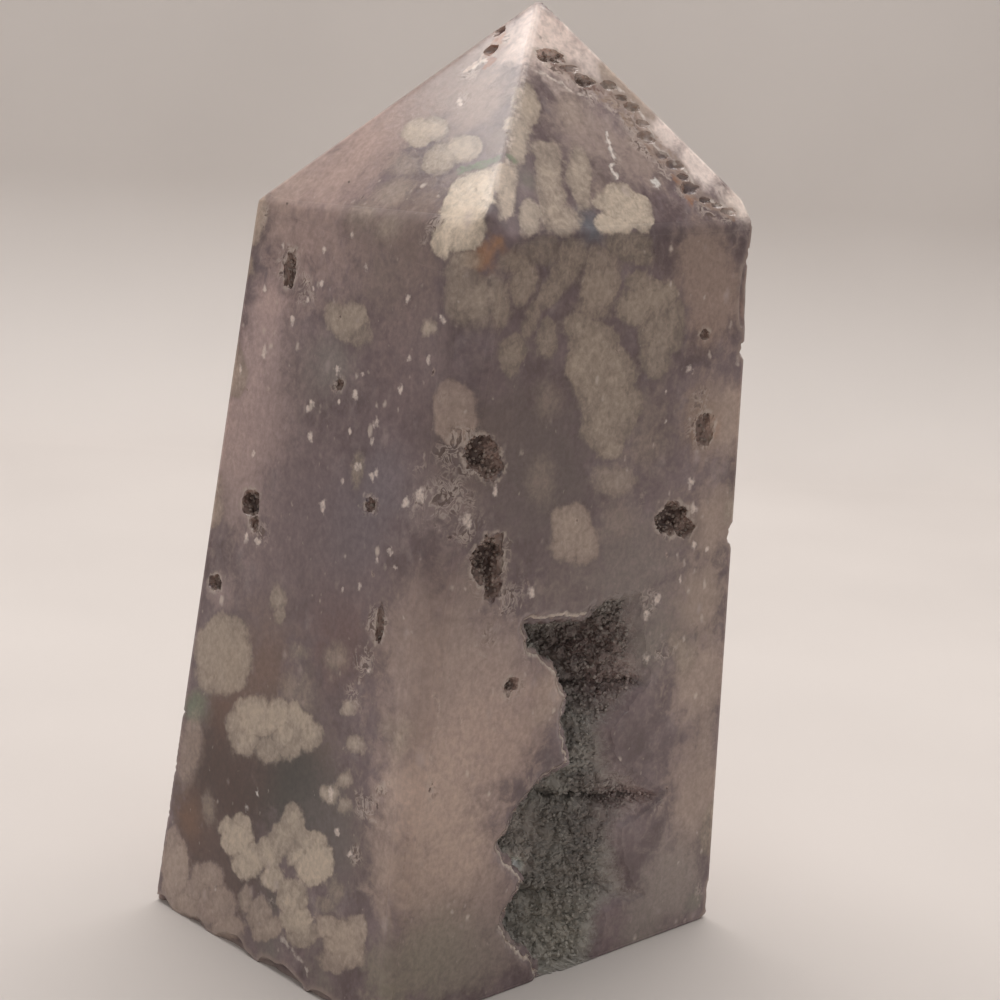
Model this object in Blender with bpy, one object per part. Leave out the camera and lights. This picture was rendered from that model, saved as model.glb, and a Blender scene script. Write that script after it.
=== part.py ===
# Flower agate tower: a polished four-sided point with a pyramid cap, a large hollow lined with
# quartz crystals low on its front face, small crystal pits and chipped edges.
# Metres, +Z up. The front face looks along -Y.

import math

import bmesh
import bpy
import numpy as np
from mathutils import Matrix, Vector, noise

MM = 0.001

# The corners of the polished body in millimetres, before its edges are ground.
BASE_X = (-23.75, 24.9)
BASE_Y = (-19.6, 20.35)
SHOULDER_X = (-15.6, 24.25)
SHOULDER_Y = (-19.7, 16.05)
SHOULDER_HEIGHTS = {(-1, -1): 77.9, (1, -1): 78.77, (-1, 1): 78.3, (1, 1): 79.2}
TIP = (4.7, -3.6, 100.35)
HEIGHT = 100.0
FRONT_Y = BASE_Y[0]
# The middle of the finished base: the origin of the part.
BASE_MIDDLE = Vector((0.225, 0.375, 0.0))

# The right face and the flats ground along the edges: each is a plane through three points, and
# what is outside it goes.
FLATS = {
    "right face": [(24.2, -10.0, 0.0), (24.2, 10.0, 0.0), (22.15, 0.0, 78.7)],
    "front edge": [(-15.9, -15.6, 74.6), (-20.25, -17.4, 34.3), (-13.2, -19.7, 76.6)],
    "front ridge": [(-9.8, -15.2, 84.1), (-15.2, -18.7, 78.5), (-11.9, -19.7, 77.9)],
    "front corner": [(-15.6, -17.0, 77.6), (-12.4, -19.7, 77.5), (-14.9, -18.3, 75.2)],
    "back right edge": [(21.3, 16.07, 78.0), (22.17, 15.2, 78.0), (23.2, 20.15, 4.0)],
    "left shoulder": [(-15.0, -6.0, 79.1), (-15.4, 12.0, 79.4), (-16.1, 4.0, 76.6)],
    "tip": [(0.0, 0.0, HEIGHT), (5.0, 0.0, HEIGHT), (0.0, 5.0, HEIGHT)],
}

# The main hollow: its mouth on the front face as X and Z, clockwise from the top left.
MOUTH = [
    (-7.2, 39.5), (-3.2, 39.3), (1.3, 38.7), (4.5, 40.6), (8.8, 40.6), (9.1, 37.7), (10.4, 32.7),
    (11.2, 30.2), (7.6, 27.6), (5.2, 26.0), (7.4, 21.8), (15.5, 16.7), (8.2, 14.5), (8.8, 11.4),
    (10.9, 7.3), (13.0, 5.6), (7.1, 5.4), (5.4, -4.0), (-1.6, -4.0), (-2.2, 1.7), (-6.5, 5.8),
    (-7.8, 7.6), (-6.2, 10.0), (-4.9, 11.8), (-8.8, 16.2), (-5.9, 20.5), (-3.5, 22.1), (0.4, 23.2),
    (-0.8, 28.5), (-0.5, 30.7), (-2.7, 34.6), (-6.1, 36.8),
]
# Basins and bulges of its floor: X, Z, spread in X, spread in Z, depth added.
FLOOR_DEPTH = 4.8
BASINS = [
    (2.5, 35.0, 6.0, 4.5, 4.2), (7.0, 31.5, 3.5, 3.0, 1.2), (-1.0, 15.5, 6.0, 4.0, 1.8),
    (0.0, 6.5, 6.0, 3.5, 1.0), (2.0, 0.0, 7.0, 3.0, -2.4), (8.3, 33.5, 2.6, 1.6, -2.2),
    (2.0, 24.5, 3.0, 2.0, -1.0),
]
# Clefts in the floor: start X and Z, end X and Z, half width, depth added.
CLEFTS = [
    (2.0, 30.0, 10.5, 30.4, 0.7, 2.2), (-1.5, 19.0, 15.0, 17.0, 0.7, 2.6),
    (-4.0, 7.0, 4.0, 7.6, 0.6, 1.6),
]
# Width of the walls: steep on the left of the hollow, gentle on its right.
STEEP_WALL = 0.9
GENTLE_WALL = 4.2
WALL_CHANGE_X = (-1.0, 9.0)
UNDERCUT = 0.45
# The crust of crystals, and its clearance to the stone.
CRUST = 1.1
GAP = 0.3
LUMPS = 0.5
LUMP_WAVES = ((0.45, 1.0), (1.0, 0.5))
CRYSTAL_HEIGHT = 1.0
CRYSTAL_SPREAD = (0.55, 1.15)
SHALLOWEST_CRYSTAL = 0.8
CRYSTAL_SPACING = 0.98
WALL_SPACING = 1.6
# The blocks that cut the hollow: their reach in X and Z and how far they stand in front of the face.
FIELD_X = (-16.0, 21.0)
FIELD_Z = (-4.0, 46.0)
FIELD_FRONT = 4.5
OUTSIDE_SLOPE = 3.0
OUTSIDE_LIMIT = -2.5
CLEFT_FADE = 1.5
ROW = math.sin(math.radians(60.0))

# Small pits: place along the face and up, radius along, depth, radius up.
FRONT_PITS = [
    (-12.9, 46.9, 2.1, 1.7, 2.5), (-12.2, 43.9, 1.2, 1.1, 1.2), (-15.0, 57.6, 2.5, 1.5, 1.7),
    (-13.3, 56.0, 1.5, 1.2, 1.3), (13.0, 47.9, 2.3, 1.5, 1.7), (15.3, 46.6, 1.4, 1.0, 1.0),
    (17.0, 57.2, 1.5, 0.8, 2.0), (15.9, 67.3, 0.7, 0.7, 0.6), (-8.9, 33.6, 0.9, 0.9, 0.7),
]
LEFT_PITS = [
    (-9.2, 71.7, 1.0, 0.8, 1.9), (-11.3, 46.9, 1.5, 1.3, 1.4), (-10.2, 45.0, 0.8, 0.8, 0.8),
    (-15.9, 37.3, 1.1, 0.9, 0.9), (1.1, 61.4, 0.6, 0.6, 0.6), (8.0, 50.6, 0.8, 0.7, 0.7),
    (11.6, 39.6, 0.6, 0.6, 2.0),
]
BACK_PITS = [
    (9.0, 52.0, 2.2, 1.3, 1.5), (-8.5, 30.0, 1.4, 1.0, 2.2), (-12.0, 64.0, 0.9, 0.8, 0.8),
    (3.5, 17.0, 1.2, 0.9, 0.9), (13.5, 22.5, 0.8, 0.7, 1.0),
]
RIGHT_PITS = [
    (-6.0, 38.0, 1.7, 1.1, 2.4), (7.5, 58.5, 1.3, 0.9, 1.0), (-9.5, 67.0, 0.8, 0.7, 0.7),
    (4.0, 20.0, 1.0, 0.8, 0.8),
]
FRONT_PIT_Y = FRONT_Y - 0.2
PIT_CRYSTALS = 0.3
PIT_CRYSTAL_SPREAD = (0.6, 1.2)
PIT_WAVES = ((1.6, 0.28), (4.0, 0.12))
FINE_PIT = 1.3
PIT_REACH = 1.3
# Pits of the cap, and the chips of the edges and of the base: place and radii.
CAP_PITS = [
    (2.7, -7.8, 94.2, 1.6, 1.1, 1.0), (5.9, -9.4, 92.0, 1.2, 0.9, 0.9),
    (1.2, -1.4, 96.1, 0.7, 0.8, 0.8), (-0.8, -2.1, 93.9, 0.9, 1.1, 0.9),
    (9.3, -9.8, 91.5, 0.8, 0.7, 0.7), (11.3, -11.4, 89.4, 0.8, 0.7, 0.7), (11.6, -13.6, 86.6, 0.9, 0.8, 1.1),
    (14.0, -15.6, 83.9, 0.9, 0.7, 0.8), (14.7, -17.2, 81.7, 1.0, 0.8, 1.0), (19.0, -19.0, 79.5, 0.9, 0.7, 0.7),
    (12.0, 6.5, 92.1, 1.4, 1.2, 1.0), (2.0, 8.2, 87.2, 1.3, 1.2, 0.9),
]
CHIPS = [
    (22.6, -20.3, 72.0, 2.0, 1.05, 8.5), (22.8, -19.9, 75.3, 1.2, 1.2, 1.25), (22.9, -20.0, 65.3, 1.3, 1.3, 1.05),
    (23.5, -20.1, 45.2, 1.4, 1.4, 1.7), (24.75, -20.0, 2.6, 1.0, 1.2, 3.0), (24.85, -19.9, -0.4, 1.6, 1.5, 1.2),
    (24.5, -19.8, 15.0, 0.7, 0.9, 1.1), (23.7, 18.9, 30.0, 0.8, 0.9, 1.6),
]
BASE_CHIPS = [
    (-24.2, 19.2, -0.4, 1.5, 2.2, 1.5), (-24.3, 12.6, -0.6, 1.3, 3.4, 1.6), (-24.2, 5.0, -0.8, 1.3, 3.8, 2.3),
    (-24.3, -3.0, -0.7, 1.5, 4.6, 2.1), (-24.1, -11.0, -0.6, 1.3, 3.8, 1.5),
    (-24.0, -18.6, -0.5, 2.0, 2.0, 1.4), (-14.0, -20.1, -0.4, 2.6, 1.0, 0.8), (6.0, 20.9, -0.4, 3.4, 1.0, 0.9),
]


# A Principled material with one colour.
def stone_material(name, colour, roughness):
    material = bpy.data.materials.new(name)
    material.use_nodes = True
    shader = material.node_tree.nodes["Principled BSDF"]
    shader.inputs["Base Color"].default_value = (*colour, 1.0)
    shader.inputs["Roughness"].default_value = roughness
    shader.inputs["Metallic"].default_value = 0.0
    return material


# Brings a bmesh in millimetres to metres round the middle of the base, and puts it into the scene.
def object_from(bm, name, collection):
    bmesh.ops.translate(bm, vec=-BASE_MIDDLE, verts=bm.verts)
    bmesh.ops.scale(bm, vec=(MM, MM, MM), verts=bm.verts)
    bmesh.ops.recalc_face_normals(bm, faces=bm.faces)
    mesh = bpy.data.meshes.new(name)
    bm.to_mesh(mesh)
    bm.free()
    item = bpy.data.objects.new(name, mesh)
    collection.objects.link(item)
    return item


# Adds a Boolean with the exact solver.
def boolean(item, cutter, operation):
    modifier = item.modifiers.new(operation.lower() + " " + cutter.name, "BOOLEAN")
    modifier.operation = operation
    modifier.solver = "EXACT"
    modifier.object = cutter


# Grinds one flat: everything outside the plane through the three points is removed.
def grind(bm, points):
    first, second, third = (Vector(point) for point in points)
    normal = (second - first).cross(third - first).normalized()
    middle = Vector((0.0, 0.0, HEIGHT / 2))
    if normal.dot(first - middle) < 0:
        normal.negate()
    everything = bm.verts[:] + bm.edges[:] + bm.faces[:]
    cut = bmesh.ops.bisect_plane(bm, geom=everything, plane_co=first, plane_no=normal, clear_outer=True)
    rim = [edge for edge in cut["geom_cut"] if isinstance(edge, bmesh.types.BMEdge)]
    bmesh.ops.edgeloop_fill(bm, edges=rim)


# The polished body before anything is cut into it.
def polished_blank():
    bm = bmesh.new()
    bmesh.ops.create_cube(bm, size=2.0)
    for vert in bm.verts:
        side_x = round(vert.co.x)
        side_y = round(vert.co.y)
        if vert.co.z < 0:
            vert.co = (BASE_X[side_x > 0], BASE_Y[side_y > 0], 0.0)
        else:
            vert.co = (SHOULDER_X[side_x > 0], SHOULDER_Y[side_y > 0], SHOULDER_HEIGHTS[(side_x, side_y)])
    top = max(bm.faces, key=lambda face: face.calc_center_median().z)
    tip = bmesh.ops.poke(bm, faces=[top])["verts"][0]
    tip.co = TIP
    for points in FLATS.values():
        grind(bm, points)
    return bm


# How near points are to a line from A to B.
def distance_to_line(x, z, ax, az, bx, bz):
    along = ((x - ax) * (bx - ax) + (z - az) * (bz - az)) / ((bx - ax) ** 2 + (bz - az) ** 2)
    along = np.clip(along, 0.0, 1.0)
    return np.hypot(x - ax - along * (bx - ax), z - az - along * (bz - az))


# Signed distance from points to the mouth's outline, positive inside.
def inside_mouth(x, z):
    nearest = np.full(x.shape, np.inf)
    inside = np.zeros(x.shape, bool)
    for (ax, az), (bx, bz) in zip(MOUTH, MOUTH[1:] + MOUTH[:1]):
        nearest = np.minimum(nearest, distance_to_line(x, z, ax, az, bx, bz))
        crosses = (az > z) != (bz > z)
        if az != bz:
            inside ^= crosses & (x < ax + (bx - ax) * (z - az) / (bz - az))
    return np.where(inside, nearest, -nearest)


def smooth_step(low, high, value):
    t = np.clip((value - low) / (high - low), 0.0, 1.0)
    return t * t * (3.0 - 2.0 * t)


# Depth of the hollow behind the front face, negative outside its mouth.
def hollow_depth(x, z, grown):
    inside = inside_mouth(x, z) + grown
    floor = np.full(x.shape, FLOOR_DEPTH)
    for cx, cz, spread_x, spread_z, extra in BASINS:
        floor += extra * np.exp(-((x - cx) / spread_x) ** 2 - ((z - cz) / spread_z) ** 2)
    wall = STEEP_WALL + (GENTLE_WALL - STEEP_WALL) * smooth_step(*WALL_CHANGE_X, x)
    depth = (floor + grown) * (1.0 - np.exp(-np.clip(inside, 0.0, None) / wall))
    for ax, az, bx, bz, half_width, extra in CLEFTS:
        away = distance_to_line(x, z, ax, az, bx, bz)
        depth += extra * np.exp(-(away / half_width) ** 2) * smooth_step(0.0, CLEFT_FADE, inside)
    outside = np.clip(inside * OUTSIDE_SLOPE, OUTSIDE_LIMIT, 0.0)
    return np.where(inside > 0, depth, outside)


# A flat sheet of even triangles over the hollow: the rows of a grid, shifted in turn.
def field_sheet(spacing):
    rows = int((FIELD_Z[1] - FIELD_Z[0]) / (spacing * ROW))
    columns = int((FIELD_X[1] - FIELD_X[0]) / spacing)
    bm = bmesh.new()
    bmesh.ops.create_grid(bm, x_segments=columns, y_segments=rows, size=0.5)
    for vert in bm.verts:
        row = round((vert.co.y + 0.5) * rows)
        column = round((vert.co.x + 0.5) * columns)
        shift = 0.5 * spacing if row % 2 and 0 < column < columns else 0.0
        vert.co = (FIELD_X[0] + column * spacing + shift, -FIELD_FRONT, FIELD_Z[0] + row * spacing * ROW)
    bmesh.ops.triangulate(bm, faces=bm.faces, quad_method="SHORT_EDGE")
    return bm


# Pulls single points of the floor out into six-sided crystals, no two of them side by side.
def pull_crystals(bm, floor_verts, depth):
    random = np.random.default_rng(7)
    on_floor = set(floor_verts)
    pulls = {}
    for index in random.permutation(len(floor_verts)):
        vert = floor_verts[index]
        ring = [edge.other_vert(vert) for edge in vert.link_edges]
        alone = not any(other in pulls or other not in on_floor for other in ring)
        if alone and depth[index] >= SHALLOWEST_CRYSTAL:
            pulls[vert] = CRYSTAL_HEIGHT * random.uniform(*CRYSTAL_SPREAD)
    bm.normal_update()
    for vert, pull in pulls.items():
        vert.co -= vert.normal * math.copysign(pull, vert.normal.y)


# A block in front of and inside the front face, whose back is the hollow's floor and walls.
def hollow_block(name, spacing, grown, crystals, collection):
    bm = field_sheet(spacing)
    back = bmesh.ops.extrude_face_region(bm, geom=bm.faces[:])["geom"]
    floor_verts = [item for item in back if isinstance(item, bmesh.types.BMVert)]
    places = np.array([vert.co[:] for vert in floor_verts])
    depth = hollow_depth(places[:, 0], places[:, 2], grown)
    for index, vert in enumerate(floor_verts):
        lump = 0.0
        for number, (scale, strength) in enumerate(LUMP_WAVES):
            lump += strength * noise.noise(Vector((vert.co.x * scale, 3.0 + 5.0 * number, vert.co.z * scale)))
        depth[index] += LUMPS * lump * min(1.0, max(0.0, depth[index]))
        vert.co.y = depth[index]
    if crystals:
        pull_crystals(bm, floor_verts, depth)
    for vert in bm.verts:
        vert.co.x -= UNDERCUT * vert.co.y
        vert.co.y += FRONT_Y
    return object_from(bm, name, collection)


# A rough ball with six-sided crystal points on the inside, for a pit or a chip.
def rough_ball(bm, place, radii, turn, points, seed):
    random = np.random.default_rng(seed)
    level = 3 if points and max(radii) > FINE_PIT else 2
    ball = bmesh.ops.create_icosphere(bm, subdivisions=level, radius=1.0)["verts"]
    offset = Vector(random.uniform(-50, 50, 3))
    raised = set()
    for index in random.permutation(len(ball)):
        vert = ball[index]
        reach = 1.0
        for scale, strength in PIT_WAVES:
            reach += strength * noise.noise(vert.co * scale + offset)
        ring = [edge.other_vert(vert) for edge in vert.link_edges]
        if points and not any(other in raised for other in ring):
            raised.add(vert)
            reach -= points * random.uniform(*PIT_CRYSTAL_SPREAD)
        vert.co *= reach
    frame = Matrix.Translation(Vector(place)) @ turn @ Matrix.Diagonal((*radii, 1.0))
    bmesh.ops.transform(bm, matrix=frame, verts=ball)


# X of the left and right faces and Y of the back face at a height.
def left_x(z):
    return BASE_X[0] + (SHOULDER_X[0] - BASE_X[0]) * z / SHOULDER_HEIGHTS[(-1, -1)]


def right_x(z):
    low, _, high = FLATS["right face"]
    return low[0] + (high[0] - low[0]) * z / high[2]


def back_y(z):
    return BASE_Y[1] + (SHOULDER_Y[1] - BASE_Y[1]) * z / SHOULDER_HEIGHTS[(-1, 1)]


# Every pit and chip as place, radii, turn and the height of its crystals.
def pits_and_chips():
    still = Matrix.Identity(4)
    quarter = Matrix.Rotation(math.radians(90.0), 4, "Z")
    balls = []
    for pits, place, turn in (
        (FRONT_PITS, lambda across, up: (across, FRONT_PIT_Y, up), still),
        (BACK_PITS, lambda across, up: (across, back_y(up), up), still),
        (LEFT_PITS, lambda across, up: (left_x(up), -across, up), quarter),
        (RIGHT_PITS, lambda across, up: (right_x(up), across, up), quarter),
    ):
        for across, up, radius, depth, radius_up in pits:
            balls.append((place(across, up), (radius, depth, radius_up), turn, PIT_CRYSTALS))
    balls += [(pit[:3], pit[3:], still, PIT_CRYSTALS) for pit in CAP_PITS]
    balls += [(chip[:3], chip[3:], still, 0.0) for chip in CHIPS + BASE_CHIPS]
    return balls


def clear_of(ball, other):
    apart = (Vector(ball[0]) - Vector(other[0])).length
    return apart > PIT_REACH * (max(ball[1]) + max(other[1]))


# The balls in layers: no two in one layer touch, so that each layer is a clean cutter.
def pit_layers(collection):
    layers = []
    for seed, ball in enumerate(pits_and_chips()):
        for layer in layers:
            if all(clear_of(ball, other) for _, other in layer):
                layer.append((seed, ball))
                break
        else:
            layers.append([(seed, ball)])
    cutters = []
    for index, layer in enumerate(layers):
        bm = bmesh.new()
        for seed, (place, radii, turn, points) in layer:
            rough_ball(bm, place, radii, turn, points, 100 + seed)
        cutters.append(object_from(bm, "pit_layer_%d" % index, collection))
    return cutters


# Everything up to the gap above the floor, so that the crust stands clear of it.
def crust_foot(collection):
    bm = bmesh.new()
    bmesh.ops.create_cube(bm, size=HEIGHT)
    bmesh.ops.translate(bm, vec=(0.0, 0.0, GAP - HEIGHT / 2), verts=bm.verts)
    return object_from(bm, "crust_foot", collection)


def build():
    for item in list(bpy.data.objects):
        bpy.data.objects.remove(item)
    parts = bpy.data.collections.new("flower_agate_tower")
    cutters = bpy.data.collections.new("cutters")
    for collection in (parts, cutters):
        bpy.context.scene.collection.children.link(collection)

    tower = object_from(polished_blank(), "agate_tower", parts)
    crust = object_from(polished_blank(), "main_hollow_druse", parts)
    tower.data.materials.append(stone_material("polished_agate", (0.30, 0.24, 0.25), 0.22))
    crust.data.materials.append(stone_material("quartz_druse", (0.12, 0.12, 0.12), 0.35))

    hollow = hollow_block("hollow_cut", WALL_SPACING, CRUST + GAP, False, cutters)
    for cutter in [hollow, *pit_layers(cutters)]:
        boolean(tower, cutter, "DIFFERENCE")
    boolean(crust, hollow_block("crust_back", WALL_SPACING, CRUST, False, cutters), "INTERSECT")
    boolean(crust, hollow_block("crust_air", CRYSTAL_SPACING, 0.0, True, cutters), "DIFFERENCE")
    boolean(crust, crust_foot(cutters), "DIFFERENCE")

    for cutter in cutters.objects:
        cutter.hide_render = True
        cutter.display_type = "WIRE"
        cutter.hide_set(True)


build()
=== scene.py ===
import math
import random

import bmesh
import bpy
import numpy as np
from bmesh.types import BMEdge, BMVert
from mathutils import Matrix, Vector, noise
from mathutils.bvhtree import BVHTree
from mathutils.kdtree import KDTree


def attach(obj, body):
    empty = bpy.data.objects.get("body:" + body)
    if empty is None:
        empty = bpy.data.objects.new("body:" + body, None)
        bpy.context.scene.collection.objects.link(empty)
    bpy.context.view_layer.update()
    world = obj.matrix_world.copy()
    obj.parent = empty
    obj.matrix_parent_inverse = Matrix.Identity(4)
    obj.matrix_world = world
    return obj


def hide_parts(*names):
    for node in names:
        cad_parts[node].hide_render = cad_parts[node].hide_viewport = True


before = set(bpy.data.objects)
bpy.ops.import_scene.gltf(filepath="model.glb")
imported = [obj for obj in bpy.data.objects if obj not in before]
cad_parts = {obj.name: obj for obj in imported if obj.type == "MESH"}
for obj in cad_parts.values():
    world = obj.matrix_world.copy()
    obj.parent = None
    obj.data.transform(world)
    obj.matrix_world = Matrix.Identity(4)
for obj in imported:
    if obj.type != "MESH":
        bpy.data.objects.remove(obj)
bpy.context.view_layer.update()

scene = bpy.context.scene
scene.view_settings.view_transform = "Standard"

# Every place below is in millimetres, as fitted to the photograph. A finished mesh is brought from
# there to metres round the middle of the base.
metre = 0.001
baseMiddle = Vector((0.225, 0.375, 0.0))
toFrame = Matrix.Scale(metre, 4) @ Matrix.Translation(-baseMiddle)

# The camera, as fitted to the corners of the tower in the 1000 x 1000 photograph.
lensView = {
    "distance": 214.452, "azimuth": -43.376, "elevation": 12.503, "roll": 3.285,
    "focalPixels": 1992.43, "sensor": 36.0, "aimUp": 47.747, "aimRight": 4.787, "frame": 1000,
}


def cameraAxes():
    azimuth, elevation, roll = (math.radians(lensView[key]) for key in ("azimuth", "elevation", "roll"))
    back = Vector((math.sin(azimuth), -math.cos(azimuth), 0.0)) * math.cos(elevation)
    back.z = math.sin(elevation)
    level = (-back).cross(Vector((0, 0, 1))).normalized()
    upright = level.cross(-back)
    right = level * math.cos(roll) + upright * math.sin(roll)
    up = upright * math.cos(roll) - level * math.sin(roll)
    place = level * lensView["aimRight"] + Vector((0, 0, lensView["aimUp"])) + back * lensView["distance"]
    return place, right, up, back


def makeCamera():
    place, right, up, back = cameraAxes()
    camera = bpy.data.objects.new("camera", bpy.data.cameras.new("camera"))
    camera.data.sensor_width = lensView["sensor"]
    camera.data.lens = lensView["focalPixels"] / lensView["frame"] * lensView["sensor"]
    camera.data.clip_start = 0.01
    turn = Matrix((right, up, back)).transposed().to_4x4()
    camera.matrix_world = Matrix.Translation(toFrame @ place) @ turn
    scene.collection.objects.link(camera)
    scene.camera = camera


def photoRay(px, py):  # direction from the camera through a pixel of the photograph
    place, right, up, back = cameraAxes()
    half = lensView["frame"] / 2
    focal = lensView["focalPixels"]
    ray = -back + right * ((px - half) / focal) + up * ((half - py) / focal)
    return place, ray.normalized()


makeCamera()
print("camera set")

tower = {
    "baseX": (-23.75, 24.9), "baseY": (-19.6, 20.35),
    "shoulderX": (-15.6, 24.25), "shoulderY": (-19.7, 16.05),
    "shoulderHeights": {(-1, -1): 77.9, (1, -1): 78.77, (-1, 1): 78.3, (1, 1): 79.2},
    "tip": (4.7, -3.6, 100.35),
    "low": (-24, -20, 0), "high": (25, 21, 100),    # the first slicing: its box, cell and start in a cell
    "cell": 3.0, "cellStart": 0.37,
    "splits": 7,        # how often edges are then halved, until they are shorter than these lengths
    "coarse": 1.15, "fine": 0.395, "atMarks": 0.32, "atEdges": 0.46, "atMouth": 0.225, "atSpecks": 0.22,
    "atBase": 5.0, "unseen": 2.2,       # the length on the base, and a factor where the camera can't see
    "byLobe": (1.3, 0.15), "bySpeck": 0.95,     # how the length grows with the distance from them
    "edgeReach": 0.45, "nearMouth": (-11.0, 7.0, 43.0),     # low X, high X and high Z of the fine rim
    "sliver": 0.012, "folded": 0.3, "unfolding": 4,     # which triangles are mended, and how often
    "edgeWear": 0.16,   # how far the polish has rounded the edges
    "waviness": 0.035, "waves": 0.07,
    "farthest": 5.0,    # where the distances kept on the mesh end
}
# The right face and the flats ground along the edges, each through three points.
flats = {
    "rightFace": [(24.2, -10.0, 0.0), (24.2, 10.0, 0.0), (22.15, 0.0, 78.7)],
    "frontEdge": [(-15.9, -15.6, 74.6), (-20.25, -17.4, 34.3), (-13.2, -19.7, 76.6)],
    "frontRidge": [(-9.8, -15.2, 84.1), (-15.2, -18.7, 78.5), (-11.9, -19.7, 77.9)],
    "frontCorner": [(-15.6, -17.0, 77.6), (-12.4, -19.7, 77.5), (-14.9, -18.3, 75.2)],
    "backRightEdge": [(21.3, 16.07, 78.0), (22.17, 15.2, 78.0), (23.2, 20.15, 4.0)],
    "leftShoulder": [(-15.0, -6.0, 79.1), (-15.4, 12.0, 79.4), (-16.1, 4.0, 76.6)],
    "tip": [(0.0, 0.0, 100.0), (5.0, 0.0, 100.0), (0.0, 5.0, 100.0)],
}
frontY = tower["baseY"][0]


def flatPlane(points):  # a point and the outward normal
    first, second, third = (Vector(point) for point in points)
    normal = (second - first).cross(third - first).normalized()
    if normal.dot(first - Vector((0, 0, 50))) < 0:
        normal.negate()
    return first, normal


def only(kind, items):  # the vertices or the edges among what an operator has made
    return [item for item in items if isinstance(item, kind)]


def cutThrough(bm, place, normal, **clear):
    everything = bm.verts[:] + bm.edges[:] + bm.faces[:]
    return bmesh.ops.bisect_plane(bm, geom=everything, plane_co=place, plane_no=normal, **clear)


def grind(bm, place, normal):
    cut = cutThrough(bm, place, normal, clear_outer=True)
    bmesh.ops.edgeloop_fill(bm, edges=only(BMEdge, cut["geom_cut"]))


def polishedBlank():
    bm = bmesh.new()
    bmesh.ops.create_cube(bm, size=2.0)
    for vert in bm.verts:
        sideX, sideY = round(vert.co.x), round(vert.co.y)
        if vert.co.z < 0:
            vert.co = (tower["baseX"][sideX > 0], tower["baseY"][sideY > 0], 0.0)
        else:
            vert.co.x = tower["shoulderX"][sideX > 0]
            vert.co.y = tower["shoulderY"][sideY > 0]
            vert.co.z = tower["shoulderHeights"][(sideX, sideY)]
    top = max(bm.faces, key=lambda face: face.calc_center_median().z)
    bmesh.ops.poke(bm, faces=[top])["verts"][0].co = tower["tip"]
    for points in flats.values():
        grind(bm, *flatPlane(points))
    bmesh.ops.recalc_face_normals(bm, faces=bm.faces)
    return bm


blank = polishedBlank()
blankTree = BVHTree.FromBMesh(blank)
blankPlanes = {}
for face in blank.faces:
    key = tuple(round(value, 2) for value in face.normal)
    blankPlanes.setdefault(key, (face.calc_center_median().copy(), face.normal.copy()))


def onStone(px, py):  # where a pixel of the photograph meets the polished blank
    place, ray = photoRay(px, py)
    spot, normal, _, _ = blankTree.ray_cast(place, ray)
    if spot is None:
        raise ValueError("pixel %d, %d lies beside the stone" % (px, py))
    return spot, normal


def alongFace(px, py, spot, normal):  # the same, but on the plane of a face already found
    place, ray = photoRay(px, py)
    return place + ray * ((spot - place).dot(normal) / ray.dot(normal))


def wobble(points, scale, seed, octaves=1):
    shift = Vector((seed * 7.3, seed * -3.1, seed * 5.7))
    out = np.zeros(len(points))
    for octave in range(octaves):
        step = scale * 2 ** octave
        values = [noise.noise(Vector(point) * step + shift) for point in points.tolist()]
        out += np.array(values) / 2 ** octave
    return out


def smoothStep(low, high, value):
    t = np.clip((value - low) / (high - low), 0.0, 1.0)
    return t * t * (3.0 - 2.0 * t)


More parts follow.
